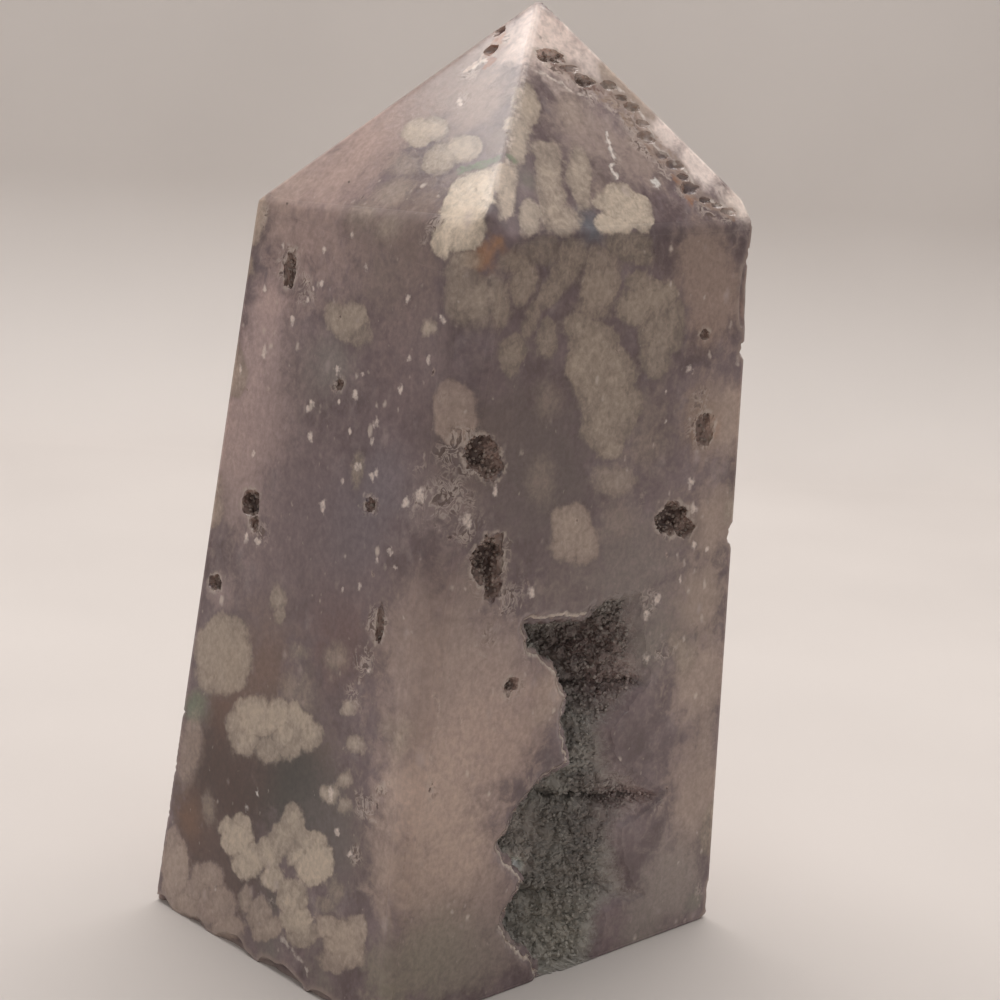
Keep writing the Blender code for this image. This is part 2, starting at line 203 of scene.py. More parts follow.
# The main hollow, as in the CAD source: its mouth on the front face as X and Z, and the floor's shape.
hollow = {
    "mouth": [
        (-7.2, 39.5), (-3.2, 39.3), (1.3, 38.7), (4.5, 40.6), (8.8, 40.6), (9.1, 37.7), (10.4, 32.7),
        (11.2, 30.2), (7.6, 27.6), (5.2, 26.0), (7.4, 21.8), (15.5, 16.7), (8.2, 14.5), (8.8, 11.4),
        (10.9, 7.3), (13.0, 5.6), (7.1, 5.4), (5.4, -4.0), (-1.6, -4.0), (-2.2, 1.7), (-6.5, 5.8),
        (-7.8, 7.6), (-6.2, 10.0), (-4.9, 11.8), (-8.8, 16.2), (-5.9, 20.5), (-3.5, 22.1), (0.4, 23.2),
        (-0.8, 28.5), (-0.5, 30.7), (-2.7, 34.6), (-6.1, 36.8),
    ],
    "floor": 4.8,
    "basins": [  # X, Z, spread in X, spread in Z, depth added
        (2.5, 35.0, 6.0, 4.5, 4.2), (7.0, 31.5, 3.5, 3.0, 1.2), (-1.0, 15.5, 6.0, 4.0, 1.8),
        (0.0, 6.5, 6.0, 3.5, 1.0), (2.0, 0.0, 7.0, 3.0, -2.4), (8.3, 33.5, 2.6, 1.6, -2.2),
        (2.0, 24.5, 3.0, 2.0, -1.0),
    ],
    "clefts": [  # start X and Z, end X and Z, half width, depth added
        (2.0, 30.0, 10.5, 30.4, 0.7, 2.2), (-1.5, 19.0, 15.0, 17.0, 0.7, 2.6),
        (-4.0, 7.0, 4.0, 7.6, 0.6, 1.6),
    ],
    "steepWall": 0.9, "gentleWall": 4.2, "undercut": 0.45,
    "ragged": (0.42, 0.55), "scallop": (0.22, 1.1),     # how far, and how many to the millimetre
    "rim": 0.5,     # width of the crust where the polish cuts it
    "crust": 1.1, "seam": 0.1, "sunk": 0.012, "hairline": 0.006, "backGap": 0.12,
    "lip": 0.5, "lipReach": 1.1,    # how the polish turns down into the hollow on its left
    "heads": (0.7, 0.34),           # how far the larger and the smaller crystal heads stand up
    "headScale": (0.55, 1.3),      # and how many there are to the millimetre
    "smooth": [  # parts of the right wall without crystals: pixel, depth behind the face, radius
        (652, 733, 1.0, 4.6), (655, 850, 1.0, 3.8), (640, 925, 1.0, 4.4),
    ],
    "lowX": -12.5, "highX": 18.5, "lowZ": -2.5, "highZ": 44.0,
    "cutSpacing": 0.4, "sheetSpacing": 0.18, "rowHeight": 0.866,
    "cutterFront": -4.5,    # where the cutter starts, before the face
    "leftPart": 1.5,        # the rim is turned down and pale only where X is less
}


def fromSegment(x, z, ax, az, bx, bz):  # distance from points to a straight piece
    along = ((x - ax) * (bx - ax) + (z - az) * (bz - az)) / ((bx - ax) ** 2 + (bz - az) ** 2)
    along = np.clip(along, 0, 1)
    return np.hypot(x - ax - along * (bx - ax), z - az - along * (bz - az))


def fromMouth(x, z):  # signed distance to the mouth's straight outline, positive inside
    nearest = np.full(x.shape, 1e9)
    inside = np.zeros(x.shape, bool)
    corners = hollow["mouth"]
    for (ax, az), (bx, bz) in zip(corners, corners[1:] + corners[:1]):
        nearest = np.minimum(nearest, fromSegment(x, z, ax, az, bx, bz))
        if az != bz:
            crosses = (az > z) != (bz > z)
            inside ^= crosses & (x < ax + (bx - ax) * (z - az) / (bz - az))
    return np.where(inside, nearest, -nearest)


def insideMouth(x, z):  # the same with a ragged outline, smoother further in
    points = np.stack([x, np.zeros(len(x)), z], axis=1)
    straight = fromMouth(x, z)
    amount, scale = hollow["ragged"]
    bendX, bendZ = (amount * wobble(points, scale, seed, 2) for seed in (11, 12))
    amount, scale = hollow["scallop"]
    scallops = amount * (1.0 - 2.4 * np.abs(wobble(points, scale, 13)))
    ragged = fromMouth(x + bendX, z + bendZ) - scallops
    return ragged + (straight - 0.1 - ragged) * smoothStep(0.2, 1.6, straight)


def hollowDepth(x, z, inside, grown):  # depth behind the front face, negative outside the mouth
    inside = inside + grown
    floor = np.full(x.shape, hollow["floor"])
    for cx, cz, spreadX, spreadZ, extra in hollow["basins"]:
        floor += extra * np.exp(-((x - cx) / spreadX) ** 2 - ((z - cz) / spreadZ) ** 2)
    wall = hollow["steepWall"] + (hollow["gentleWall"] - hollow["steepWall"]) * smoothStep(-1.0, 9.0, x)
    depth = (floor + grown) * (1.0 - np.exp(-np.clip(inside, 0.0, None) / wall))
    for ax, az, bx, bz, halfWidth, extra in hollow["clefts"]:
        away = fromSegment(x, z, ax, az, bx, bz)
        depth += extra * np.exp(-(away / halfWidth) ** 2) * smoothStep(0.0, 1.5, inside)
    return np.where(inside > 0, depth, np.clip(inside * 3.0, -2.5, 0.0))


def lipDepth(points):  # how far the polish turns down at the mouth, hardly at all on the right
    flat = points * [1.0, 0.0, 1.0]
    round = hollow["lip"] * (1.0 - smoothStep(-1.0, 6.0, points[:, 0]))
    return round * (1.0 + 0.6 * wobble(flat, 0.45, 17)) + 0.01


def behindFace(px, py, depth):  # where a pixel of the photograph lies at a depth behind the front face
    place, ray = photoRay(px, py)
    return place + ray * ((frontY + depth - place.y) / ray.y)


def bareness(points):  # 1 in the middle of a smooth part of the right wall, 0 outside
    bare = np.zeros(len(points))
    for px, py, depth, radius in hollow["smooth"]:
        away = (points - np.array(behindFace(px, py, depth))) * [1.0, 0.5, 1.0]
        bare = np.maximum(bare, 1.0 - np.sqrt((away ** 2).sum(axis=1)) / radius)
    return bare


def crystalHeads(points, scale, seed):  # round heads that fill space, 0 in the clefts between them
    shift = Vector((seed * 3.1, seed * -2.3, seed * 1.7))
    found = np.array([noise.voronoi(Vector(point) * scale + shift)[0][:2] for point in points.tolist()])
    return 1.0 - (found[:, 0] / found[:, 1]) ** 2


def faceLattice(spacing):  # a grid in X and Z whose rows are shifted, so that its triangles are even
    low, rowHeight = hollow["lowX"], spacing * hollow["rowHeight"]
    columns = int((hollow["highX"] - low) / spacing)
    rows = int((hollow["highZ"] - hollow["lowZ"]) / rowHeight)
    bm = bmesh.new()
    bmesh.ops.create_grid(bm, x_segments=columns, y_segments=rows, size=0.5)
    for vert in bm.verts:
        row = round((vert.co.y + 0.5) * rows)
        column = round((vert.co.x + 0.5) * columns)
        shift = 0.5 * spacing if row % 2 and 0 < column < columns else 0.0
        vert.co = (low + column * spacing + shift, 0.0, hollow["lowZ"] + row * spacing * hollow["rowHeight"])
    bmesh.ops.triangulate(bm, faces=bm.faces, quad_method="SHORT_EDGE")
    return bm


def spotsOf(verts):
    return np.array([vert.co[:] for vert in verts])


def extrudeBack(bm):  # doubles a sheet, and finds the vertices of the new one
    return only(BMVert, bmesh.ops.extrude_face_region(bm, geom=bm.faces[:])["geom"])


def crustBack(x, z, inside):  # how deep the stone is cut, behind the crust
    return hollowDepth(x, z, inside + hollow["rim"] - hollow["crust"], hollow["crust"])


def hollowCutter():
    bm = faceLattice(hollow["cutSpacing"])
    for vert in bm.verts:
        vert.co.y = hollow["cutterFront"]
    back = extrudeBack(bm)
    spots = spotsOf(back)
    x, z = spots[:, 0], spots[:, 2]
    for vert, depth in zip(back, crustBack(x, z, insideMouth(x, z))):
        vert.co.y = depth
    for vert in bm.verts:
        vert.co.x -= hollow["undercut"] * vert.co.y
        vert.co.y += frontY
    return bm


# Small pits: along the face, up, radius along, depth, radius up. Chips and cap pits: place and radii.
pits = {
    "front": [
        (-12.9, 46.9, 2.1, 1.7, 2.5), (-12.2, 43.9, 1.2, 1.1, 1.2), (-15.0, 57.6, 2.5, 1.5, 1.7),
        (-13.3, 56.0, 1.5, 1.2, 1.3), (13.0, 47.9, 2.3, 1.5, 1.7), (15.3, 46.6, 1.4, 1.0, 1.0),
        (17.0, 57.2, 1.5, 0.8, 2.0), (15.9, 67.3, 0.7, 0.7, 0.6), (-8.9, 33.6, 0.9, 0.9, 0.7),
    ],
    "left": [
        (-9.2, 71.7, 1.0, 0.8, 1.9), (-11.3, 46.9, 1.5, 1.3, 1.4), (-10.2, 45.0, 0.8, 0.8, 0.8),
        (-15.9, 37.3, 1.1, 0.9, 0.9), (1.1, 61.4, 0.6, 0.6, 0.6), (8.0, 50.6, 0.8, 0.7, 0.7),
        (11.6, 39.6, 0.6, 0.6, 2.0),
    ],
    "back": [
        (9.0, 52.0, 2.2, 1.3, 1.5), (-8.5, 30.0, 1.4, 1.0, 2.2), (-12.0, 64.0, 0.9, 0.8, 0.8),
        (3.5, 17.0, 1.2, 0.9, 0.9), (13.5, 22.5, 0.8, 0.7, 1.0),
    ],
    "right": [
        (-6.0, 38.0, 1.7, 1.1, 2.4), (7.5, 58.5, 1.3, 0.9, 1.0), (-9.5, 67.0, 0.8, 0.7, 0.7),
        (4.0, 20.0, 1.0, 0.8, 0.8),
    ],
    "cap": [
        (2.7, -7.8, 94.2, 1.6, 1.1, 1.0), (4.6, -8.8, 93.0, 0.9, 0.7, 0.6), (5.9, -9.4, 92.0, 1.2, 0.9, 0.9),
        (1.2, -1.4, 96.3, 0.7, 0.8, 0.8), (-0.8, -2.1, 94.15, 0.9, 1.1, 0.9),
        (9.3, -9.8, 91.5, 0.8, 0.7, 0.7), (10.4, -10.7, 90.5, 0.6, 0.5, 0.5),
        (11.3, -11.4, 89.4, 0.8, 0.7, 0.7), (11.9, -12.6, 88.0, 0.7, 0.6, 0.7),
        (11.6, -13.6, 86.6, 0.9, 0.8, 1.1), (12.6, -14.9, 85.0, 0.8, 0.6, 0.7),
        (14.0, -15.6, 83.9, 0.9, 0.7, 0.8), (14.5, -16.3, 82.9, 0.6, 0.5, 0.6),
        (14.7, -17.2, 81.7, 1.0, 0.8, 1.0), (16.2, -18.0, 80.7, 0.6, 0.5, 0.5),
        (17.7, -18.5, 80.2, 0.6, 0.5, 0.5), (19.0, -19.0, 79.5, 0.9, 0.7, 0.7),
        (12.0, 6.5, 92.1, 1.4, 1.2, 1.0), (2.0, 8.2, 87.2, 1.3, 1.2, 0.9),
    ],
    "chips": [
        (22.6, -20.3, 72.0, 2.0, 1.05, 8.5), (22.8, -19.9, 75.3, 1.2, 1.2, 1.25),
        (22.9, -20.0, 65.3, 1.3, 1.3, 1.05), (23.5, -20.1, 45.2, 1.4, 1.4, 1.7),
        (24.75, -20.0, 2.6, 1.0, 1.2, 3.0), (24.85, -19.9, -0.4, 1.6, 1.5, 1.2),
        (24.5, -19.8, 15.0, 0.7, 0.9, 1.1), (23.7, 18.9, 30.0, 0.8, 0.9, 1.6),
        (-24.2, 19.2, -0.4, 1.5, 2.2, 1.5), (-24.3, 12.6, -0.6, 1.3, 3.4, 1.6),
        (-24.2, 5.0, -0.8, 1.3, 3.8, 2.3), (-24.3, -3.0, -0.7, 1.5, 4.6, 2.1),
        (-24.1, -11.0, -0.6, 1.3, 3.8, 1.5), (-24.0, -18.6, -0.5, 2.0, 2.0, 1.4),
        (-14.0, -20.1, -0.4, 2.6, 1.0, 0.8), (6.0, 20.9, -0.4, 3.4, 1.0, 0.9),
    ],
    "walls": {  # where a face stands at the base, how that changes upwards, and its side where along is Y
        "front": (frontY - 0.2, 0.0, 0), "back": (20.35, -0.0549, 0),
        "left": (-23.75, 0.1046, -1), "right": (24.2, -0.026, 1),
    },
    "lumps": (0.3, 1.6), "creases": (0.26, 3.2), "grit": (0.14, 7.0), "plain": (0.1, 4.0),  # height, scale
    "large": 1.7,        # from this radius on a ball is finer
    "apart": 1.35,       # reach of a ball over its radius, to tell whether two would touch
    "capLined": 1.15,    # pits of the cap up to this radius are dishes without crystals
    "capSunk": 0.15,     # pits of the cap take less of the painted depth shade and roughness than their depth gives
    "capHoles": (1.15, 0.8, 0.8, 0.4), "capDishes": (1.5, 0.85, 0.85, 0.8),    # their reach by axis, and lift
}


def pitPlaces():  # every pit and chip as place, radii, turn and whether crystals line it
    still = Matrix.Identity(4)
    quarter = Matrix.Rotation(math.pi / 2, 4, "Z")
    found = []
    for wall, (base, slope, side) in pits["walls"].items():
        for along, up, radius, depth, radiusUp in pits[wall]:
            away = base + slope * up
            place = (away, side * along, up) if side else (along, away, up)
            found.append((place, (radius, depth, radiusUp), quarter if side else still, True))
    for x, y, z, along, radius, radiusUp in pits["cap"]:
        lined = along > pits["capLined"]
        across, deep, tall, raised = pits["capHoles"] if lined else pits["capDishes"]
        radii = along * across, radius * deep, radiusUp * tall
        found.append(((x, y, z + raised * radius), radii, still, lined))
    found += [(chip[:3], chip[3:], still, False) for chip in pits["chips"]]
    return found


def roughBall(bm, place, radii, turn, lined, seed):
    fine = 5 if lined and max(radii) > pits["large"] else 4
    ball = bmesh.ops.create_icosphere(bm, subdivisions=fine, radius=1.0)["verts"]
    shift = Vector((seed * 3.7, seed * 1.9, seed * -2.3))

    def pattern(kind, spot):
        height, scale = pits[kind]
        return height * noise.noise(spot * scale + shift)

    for vert in ball:
        reach = 1.0 + pattern("lumps", vert.co)
        if lined:
            reach += abs(pattern("creases", vert.co))
            reach += pattern("grit", vert.co)
        else:
            reach += pattern("plain", vert.co)
        vert.co *= reach
    grown = Matrix.Translation(place) @ turn @ Matrix.Diagonal((*radii, 1.0))
    bmesh.ops.transform(bm, matrix=grown, verts=ball)


def meshFrom(bm, name):
    mesh = bpy.data.meshes.new(name)
    bm.to_mesh(mesh)
    bm.free()
    return mesh


def addObject(name, mesh):
    item = bpy.data.objects.new(name, mesh)
    scene.collection.objects.link(item)
    return item


# What a face of the cut stone belongs to, kept as its material number until the materials are set.
polishKind, hollowKind, pitKind, chipKind = range(4)


def apart(ball, other):  # whether two balls are so far from each other that one cutter can hold both
    return (Vector(ball[0]) - Vector(other[0])).length > pits["apart"] * (max(ball[1]) + max(other[1]))


def pitCutters():  # in layers, so that no two balls of one cutter touch
    layers = []
    for seed, ball in enumerate(pitPlaces()):
        for layer in layers:
            if all(apart(ball, other) for _, other in layer):
                layer.append((seed, ball))
                break
        else:
            layers.append([(seed, ball)])
    for layer in layers:
        bm = bmesh.new()
        for seed, (place, radii, turn, lined) in layer:
            start = len(bm.faces)
            roughBall(bm, place, radii, turn, lined, seed)
            bm.faces.ensure_lookup_table()
            for face in bm.faces[start:]:
                face.material_index = pitKind if lined else chipKind
        yield bm


def applyModifiers(item):
    bpy.context.view_layer.update()
    mesh = bpy.data.meshes.new_from_object(item.evaluated_get(bpy.context.evaluated_depsgraph_get()))
    item.modifiers.clear()
    item.data = mesh
    return mesh


def cutStone():
    bm = blank.copy()
    for axis in range(3):
        low, high = tower["low"][axis], tower["high"][axis]
        normal = Vector([float(axis == index) for index in range(3)])
        for step in range(int((high - low) / tower["cell"]) + 1):
            cutThrough(bm, normal * (low + (step + tower["cellStart"]) * tower["cell"]), normal)
    stone = addObject("polished_stone", meshFrom(bm, "polished_stone"))
    bm = hollowCutter()
    bmesh.ops.recalc_face_normals(bm, faces=bm.faces)
    for face in bm.faces:
        face.material_index = hollowKind
    cutters = []
    for number, bm in enumerate([bm, *pitCutters()]):
        cutters.append(addObject("cutter%d" % number, meshFrom(bm, "cutter%d" % number)))
    kinds = [bpy.data.materials.new("kind%d" % number) for number in range(4)]
    for item in [stone, *cutters]:
        for kind in kinds:
            item.data.materials.append(kind)
    for cutter in cutters:
        cut = stone.modifiers.new(cutter.name, "BOOLEAN")
        cut.operation = "DIFFERENCE"
        cut.solver = "EXACT"
        cut.object = cutter
    applyModifiers(stone)
    for cutter in cutters:
        bpy.data.objects.remove(cutter)
    return stone


def dropPairs(bm):  # a sliver made twice, once from each side, encloses nothing, so both go
    while True:
        groups = {}
        for face in bm.faces:
            groups.setdefault(frozenset(face.verts), []).append(face)
        pairs = [face for group in groups.values() for face in group[:len(group) // 2 * 2]]
        if not pairs:
            return
        bmesh.ops.delete(bm, geom=pairs, context="FACES")


def onlyTriangles(bm):
    bmesh.ops.triangulate(bm, faces=[face for face in bm.faces if len(face.verts) > 3])
    dropPairs(bm)


def refine(bm, wanted):  # splits the polish's edges until each is as short as wanted(points) asks
    for _ in range(tower["splits"]):
        onlyTriangles(bm)
        edges = [edge for edge in bm.edges if polishKind in {face.material_index for face in edge.link_faces}]
        middles = np.array([((edge.verts[0].co + edge.verts[1].co) / 2)[:] for edge in edges])
        lengths = np.array([edge.calc_length() for edge in edges])
        chosen = [edge for edge, far in zip(edges, lengths > wanted(middles)) if far]
        if not chosen:
            return
        bmesh.ops.subdivide_edges(bm, edges=chosen, cuts=1)
    onlyTriangles(bm)


def polishOf(bm):
    return [face for face in bm.faces if face.material_index == polishKind]


def isSliver(face):
    return face.calc_area() < tower["sliver"] * max(edge.calc_length() for edge in face.edges)


def turnSlivers(bm):  # thin triangles of the polish would shade dark, so their edges are turned
    thin = [face for face in polishOf(bm) if isSliver(face)]
    patch = {near for face in thin for edge in face.edges for near in edge.link_faces
             if near.material_index == polishKind}
    inner = {edge for face in patch for edge in face.edges if set(edge.link_faces) <= patch}
    bmesh.ops.beautify_fill(bm, faces=list(patch), edges=list(inner), method="ANGLE")


def untangle(mesh, lipTree):  # evens out the triangles that the wear has folded over
    bm = bmesh.new()
    bm.from_mesh(mesh)
    for _ in range(tower["unfolding"]):
        bm.normal_update()
        polish = polishOf(bm)
        middles = np.array([face.calc_center_median()[:] for face in polish])
        normals = np.array([face.normal[:] for face in polish])
        folded = (normals * facing(middles)).sum(axis=1) < tower["folded"]
        folded &= distanceTo(lipTree, middles) > hollow["lipReach"]
        verts = {vert for face, bad in zip(polish, folded) if bad for vert in face.verts}
        if verts:
            bmesh.ops.smooth_vert(
                bm, verts=list(verts), factor=0.5, use_axis_x=True, use_axis_y=True, use_axis_z=True)
    bm.to_mesh(mesh)
    bm.free()


planePoints = np.array([place[:] for place, _ in blankPlanes.values()])
planeNormals = np.array([normal[:] for _, normal in blankPlanes.values()])
planeOffsets = (planePoints * planeNormals).sum(axis=1)


def planeHeights(points):  # height over each polished plane, negative inside the stone
    return points @ planeNormals.T - planeOffsets


def facing(points):  # the outward normal of the face that each point lies on
    return planeNormals[planeHeights(points).argmax(axis=1)]


def edgeDistance(points):  # how far a point on the surface is from the nearest edge of the blank
    heights = np.sort(planeHeights(points), axis=1)
    return heights[:, -1] - heights[:, -2]


def wornEdges(points):  # the polish rounds every edge a little and leaves the faces very slightly uneven
    heights = planeHeights(points)
    highest = heights.max(axis=1)
    weights = np.exp((heights - highest[:, None]) / tower["edgeWear"])
    total = weights.sum(axis=1)
    inward = (weights @ planeNormals) / total[:, None]
    moved = points - inward * (tower["edgeWear"] * np.log(total))[:, None]
    dip = tower["waviness"] * (0.5 + 0.5 * wobble(points, tower["waves"], 21))
    dip *= smoothStep(0.0, 6.0, points[:, 2])
    return moved - inward * dip[:, None]


def meshSpots(mesh):
    spots = np.empty(len(mesh.vertices) * 3)
    mesh.vertices.foreach_get("co", spots)
    return spots.reshape(-1, 3)


def placeSpots(mesh, spots):
    mesh.vertices.foreach_set("co", np.ascontiguousarray(spots).ravel())
    mesh.update()


def keepNumber(mesh, name, values):
    mesh.attributes.new(name, "FLOAT", "POINT").data.foreach_set("value", np.asarray(values, float))


def keepColour(mesh, name, colours):
    layer = mesh.attributes.new(name, "FLOAT_COLOR", "POINT")
    layer.data.foreach_set("color", np.asarray(colours, float).ravel())


def linear(red, green, blue):  # a colour from the 0 to 255 scale of a picture, for the nodes
    values = np.array([red, green, blue]) / 255
    return tuple(np.where(values <= 0.04045, values / 12.92, ((values + 0.055) / 1.055) ** 2.4))


# The flowers as groups of round lobes. A group's look is the softness of its edge in mm, strength,
# pinkness and paleness. A lobe is a pixel of the photograph, two radii in pixels and a turn in degrees.
flowers = {
    "seen": [
        ((0.22, 1.00, 0.00, 1.00), [  # the pale boss on the front left corner of the cap
            (463, 208, 22, 38, 26), (447, 236, 13, 17, 20), (481, 190, 13, 22, 20), (452, 222, 14, 20, 20)]),
        ((0.30, 0.85, 0.15, 0.80), [(507, 188, 9, 25, 3), (499, 176, 8, 14, 10)]),
        ((0.40, 0.75, 0.15, 0.15), [
            (463, 293, 20, 28, 0), (453, 275, 12, 14, 0), (478, 300, 14, 22, 5), (497, 300, 13, 23, 0),
            (465, 262, 14, 12, 0)]),
        ((0.28, 0.85, 0.10, 0.35), [
            (419, 132, 15, 13, 0), (433, 129, 13, 12, 0), (441, 158, 20, 13, -18), (463, 149, 20, 13, -15)]),
        ((0.90, 0.45, 0.20, 0.30), [
            (404, 165, 15, 11, 0), (362, 214, 20, 12, -25),
            (392, 193, 22, 12, -30), (385, 226, 16, 10, -20)]),
        ((0.30, 0.75, 0.05, 0.50), [  # plumes on the front of the cap
            (527, 106, 11, 20, -5), (519, 136, 10, 24, 6), (545, 148, 12, 6, 0), (549, 178, 12, 34, -4),
            (580, 178, 12, 28, -8), (531, 219, 11, 16, 0), (563, 221, 19, 14, 0), (553, 205, 12, 24, 0)]),
        ((0.90, 0.40, 0.40, 0.30), [(571, 110, 15, 18, 0), (600, 190, 8, 14, 0)]),
        ((0.20, 0.90, 0.00, 0.70), [
            (620, 205, 18, 20, 0), (635, 211, 16, 17, 0), (607, 199, 13, 13, 0), (645, 222, 8, 10, 0),
            (616, 222, 17, 11, 0)]),
        ((0.30, 0.70, 0.10, 0.00), [
            (541, 253, 24, 12, 0), (524, 282, 13, 22, 8), (519, 262, 14, 11, 0), (573, 254, 15, 13, 0),
            (566, 270, 11, 16, 35), (552, 290, 9, 24, 35), (533, 314, 6, 18, 20)]),
        ((0.28, 0.75, 0.05, 0.10), [(513, 354, 13, 21, 8), (547, 340, 10, 19, 0), (528, 323, 5, 12, 15)]),
        ((0.30, 0.75, 0.15, 0.05), [(600, 262, 19, 16, 0), (600, 285, 19, 22, 0), (595, 306, 14, 12, 0)]),
        ((0.25, 0.80, 0.00, 0.00), [(628, 245, 20, 15, 0), (641, 256, 11, 10, 0)]),
        ((0.25, 0.78, 0.05, 0.10), [
            (654, 298, 21, 18, 0), (639, 284, 12, 10, 0), (637, 307, 18, 17, 0), (661, 333, 21, 23, 0),
            (656, 359, 15, 21, 0), (669, 292, 9, 12, 0), (675, 318, 9, 18, 0)]),
        ((0.25, 0.85, 0.10, 0.15), [
            (593, 344, 23, 24, 0), (580, 328, 14, 15, 0), (604, 375, 32, 31, 0), (611, 405, 30, 30, 0),
            (604, 430, 22, 22, 0), (609, 445, 13, 10, 0), (583, 365, 16, 24, 0)]),
        ((1.00, 0.30, 0.30, 0.10), [
            (548, 401, 13, 17, 0), (648, 448, 20, 20, 0), (541, 480, 14, 24, 0), (620, 520, 18, 18, 0)]),
        ((0.50, 0.60, 0.15, 0.20), [(615, 481, 20, 16, 0), (604, 474, 10, 10, 0)]),
        ((0.40, 0.80, 0.50, 0.30), [
            (572, 528, 19, 21, 0), (583, 542, 17, 20, 0), (566, 548, 13, 13, 0), (563, 520, 11, 12, 0)]),
        ((0.28, 0.75, 0.80, 0.25), [
            (455, 406, 21, 25, 0), (446, 420, 13, 14, 0), (464, 424, 12, 12, 0), (455, 432, 12, 9, 0)]),
        ((0.30, 0.75, 0.10, 0.20), [(350, 322, 18, 19, 0), (336, 316, 10, 12, 0), (360, 334, 11, 12, 0)]),
        ((0.30, 0.70, 0.00, 0.35), [(278, 600, 7, 12, 0), (281, 615, 4, 9, 0), (357, 470, 5, 14, 5)]),
        ((0.35, 0.75, 0.05, 0.15), [(223, 655, 28, 39, 0), (232, 640, 17, 22, 0), (213, 672, 17, 20, 0)]),
        ((0.28, 0.85, 0.05, 0.35), [  # the cloud under it
            (254, 716, 22, 22, 0), (244, 740, 14, 14, 0), (273, 717, 18, 17, 0), (296, 717, 15, 16, 0),
            (309, 735, 13, 13, 0), (268, 750, 14, 12, 0), (287, 735, 15, 15, 0), (239, 722, 12, 16, 0),
            (291, 748, 9, 9, 0)]),
        ((0.90, 0.45, 0.10, 0.10), [(306, 694, 10, 24, 0), (291, 690, 11, 15, 0)]),
        ((0.80, 0.50, 0.70, 0.25), [(190, 751, 11, 34, 8), (706, 740, 8, 50, 4)]),
        ((0.50, 0.50, 0.10, 0.10), [(208, 807, 6, 14, 0), (685, 656, 9, 20, 0), (676, 641, 7, 12, 0)]),
        ((0.32, 0.75, 0.60, 0.20), [
            (175, 869, 13, 30, 0), (206, 877, 15, 14, 0), (186, 904, 16, 14, 0), (215, 905, 19, 18, 0),
            (226, 929, 15, 12, 0), (196, 890, 13, 13, 0), (173, 842, 6, 15, 0)]),
        ((0.20, 0.90, 0.00, 0.40), [  # the popcorn cluster, lobe by lobe
            (237, 838, 15, 19, 0), (248, 861, 15, 16, 0), (229, 828, 9, 10, 0), (242, 824, 8, 9, 0)]),
        ((0.20, 0.90, 0.00, 0.35), [
            (268, 853, 12, 16, 0), (282, 838, 13, 15, 0), (293, 822, 11, 15, 0), (271, 878, 11, 11, 0)]),
        ((0.18, 0.95, 0.00, 0.45), [(313, 862, 20, 21, 0), (309, 845, 16, 13, 0), (300, 856, 12, 12, 0)]),
        ((0.20, 0.90, 0.05, 0.35), [
            (293, 897, 15, 16, 0), (296, 921, 15, 15, 0), (303, 937, 15, 9, 0), (286, 886, 9, 8, 0)]),
        ((0.40, 0.60, 0.00, 0.10), [(334, 891, 8, 11, 0), (326, 905, 8, 8, 0)]),
        ((0.25, 0.80, 0.35, 0.20), [
            (245, 899, 6, 14, 0), (259, 914, 13, 15, 0), (271, 927, 10, 10, 0), (262, 932, 9, 9, 0)]),
        ((0.25, 0.85, 0.30, 0.30), [
            (344, 940, 20, 21, 0), (330, 930, 13, 13, 0), (354, 928, 12, 13, 0), (334, 961, 13, 10, 0),
            (350, 955, 13, 12, 0)]),
        ((0.30, 0.60, 0.10, 0.80), [
            (330, 793, 8, 8, 0), (343, 779, 5, 6, 0), (345, 807, 5, 6, 0), (356, 745, 8, 7, 0),
            (348, 707, 6, 6, 0), (429, 330, 6, 6, 0)]),
        ((0.80, 0.45, 0.00, 0.30), [
            (337, 657, 11, 15, 0), (389, 731, 6, 7, 0), (400, 740, 7, 17, 10), (299, 653, 7, 7, 0)]),
        ((0.50, 0.60, 0.70, 0.25), [(553, 692, 15, 21, 0), (545, 712, 11, 11, 0)]),
    ],
    "behind": {  # faces that the photograph doesn't show: point, outward normal, width, height, flowers
        "right": ((23.1, 0.0, 40.0), (0.9997, 0.0, 0.026), 34.0, 72.0, 16),
        "back": ((0.5, 18.2, 40.0), (0.0, 0.9985, 0.0549), 42.0, 72.0, 18),
        "capRight": ((14.5, -1.0, 89.5), (0.739, 0.0, 0.673), 20.0, 14.0, 4),
        "capBack": ((4.0, 8.0, 88.0), (-0.0148, 0.7334, 0.6796), 20.0, 14.0, 4),
    },
    "depth": 0.5,       # half thickness of a lobe into the stone, over its radius
    "reach": 3.0,       # how far beyond a lobe its edge is still followed
    "bends": [(0.5, 0.33, 51), (0.25, 1.1, 52)],    # amount in mm, how many to the mm, seed
    "none": (-9.0, 9.0, 0.5, 0.0, 0.0, 0.0, 0.5),   # what is kept where there is no flower
    "looks": [(0.2, 0.5), (0.6, 0.95), (0.0, 0.6), (0.0, 0.5)],     # limits of the looks behind
    "spread": (1.5, 3.5), "lobes": (2, 6), "radius": (1.0, 2.6), "taller": (0.8, 1.6),
    "seed": 31,
}
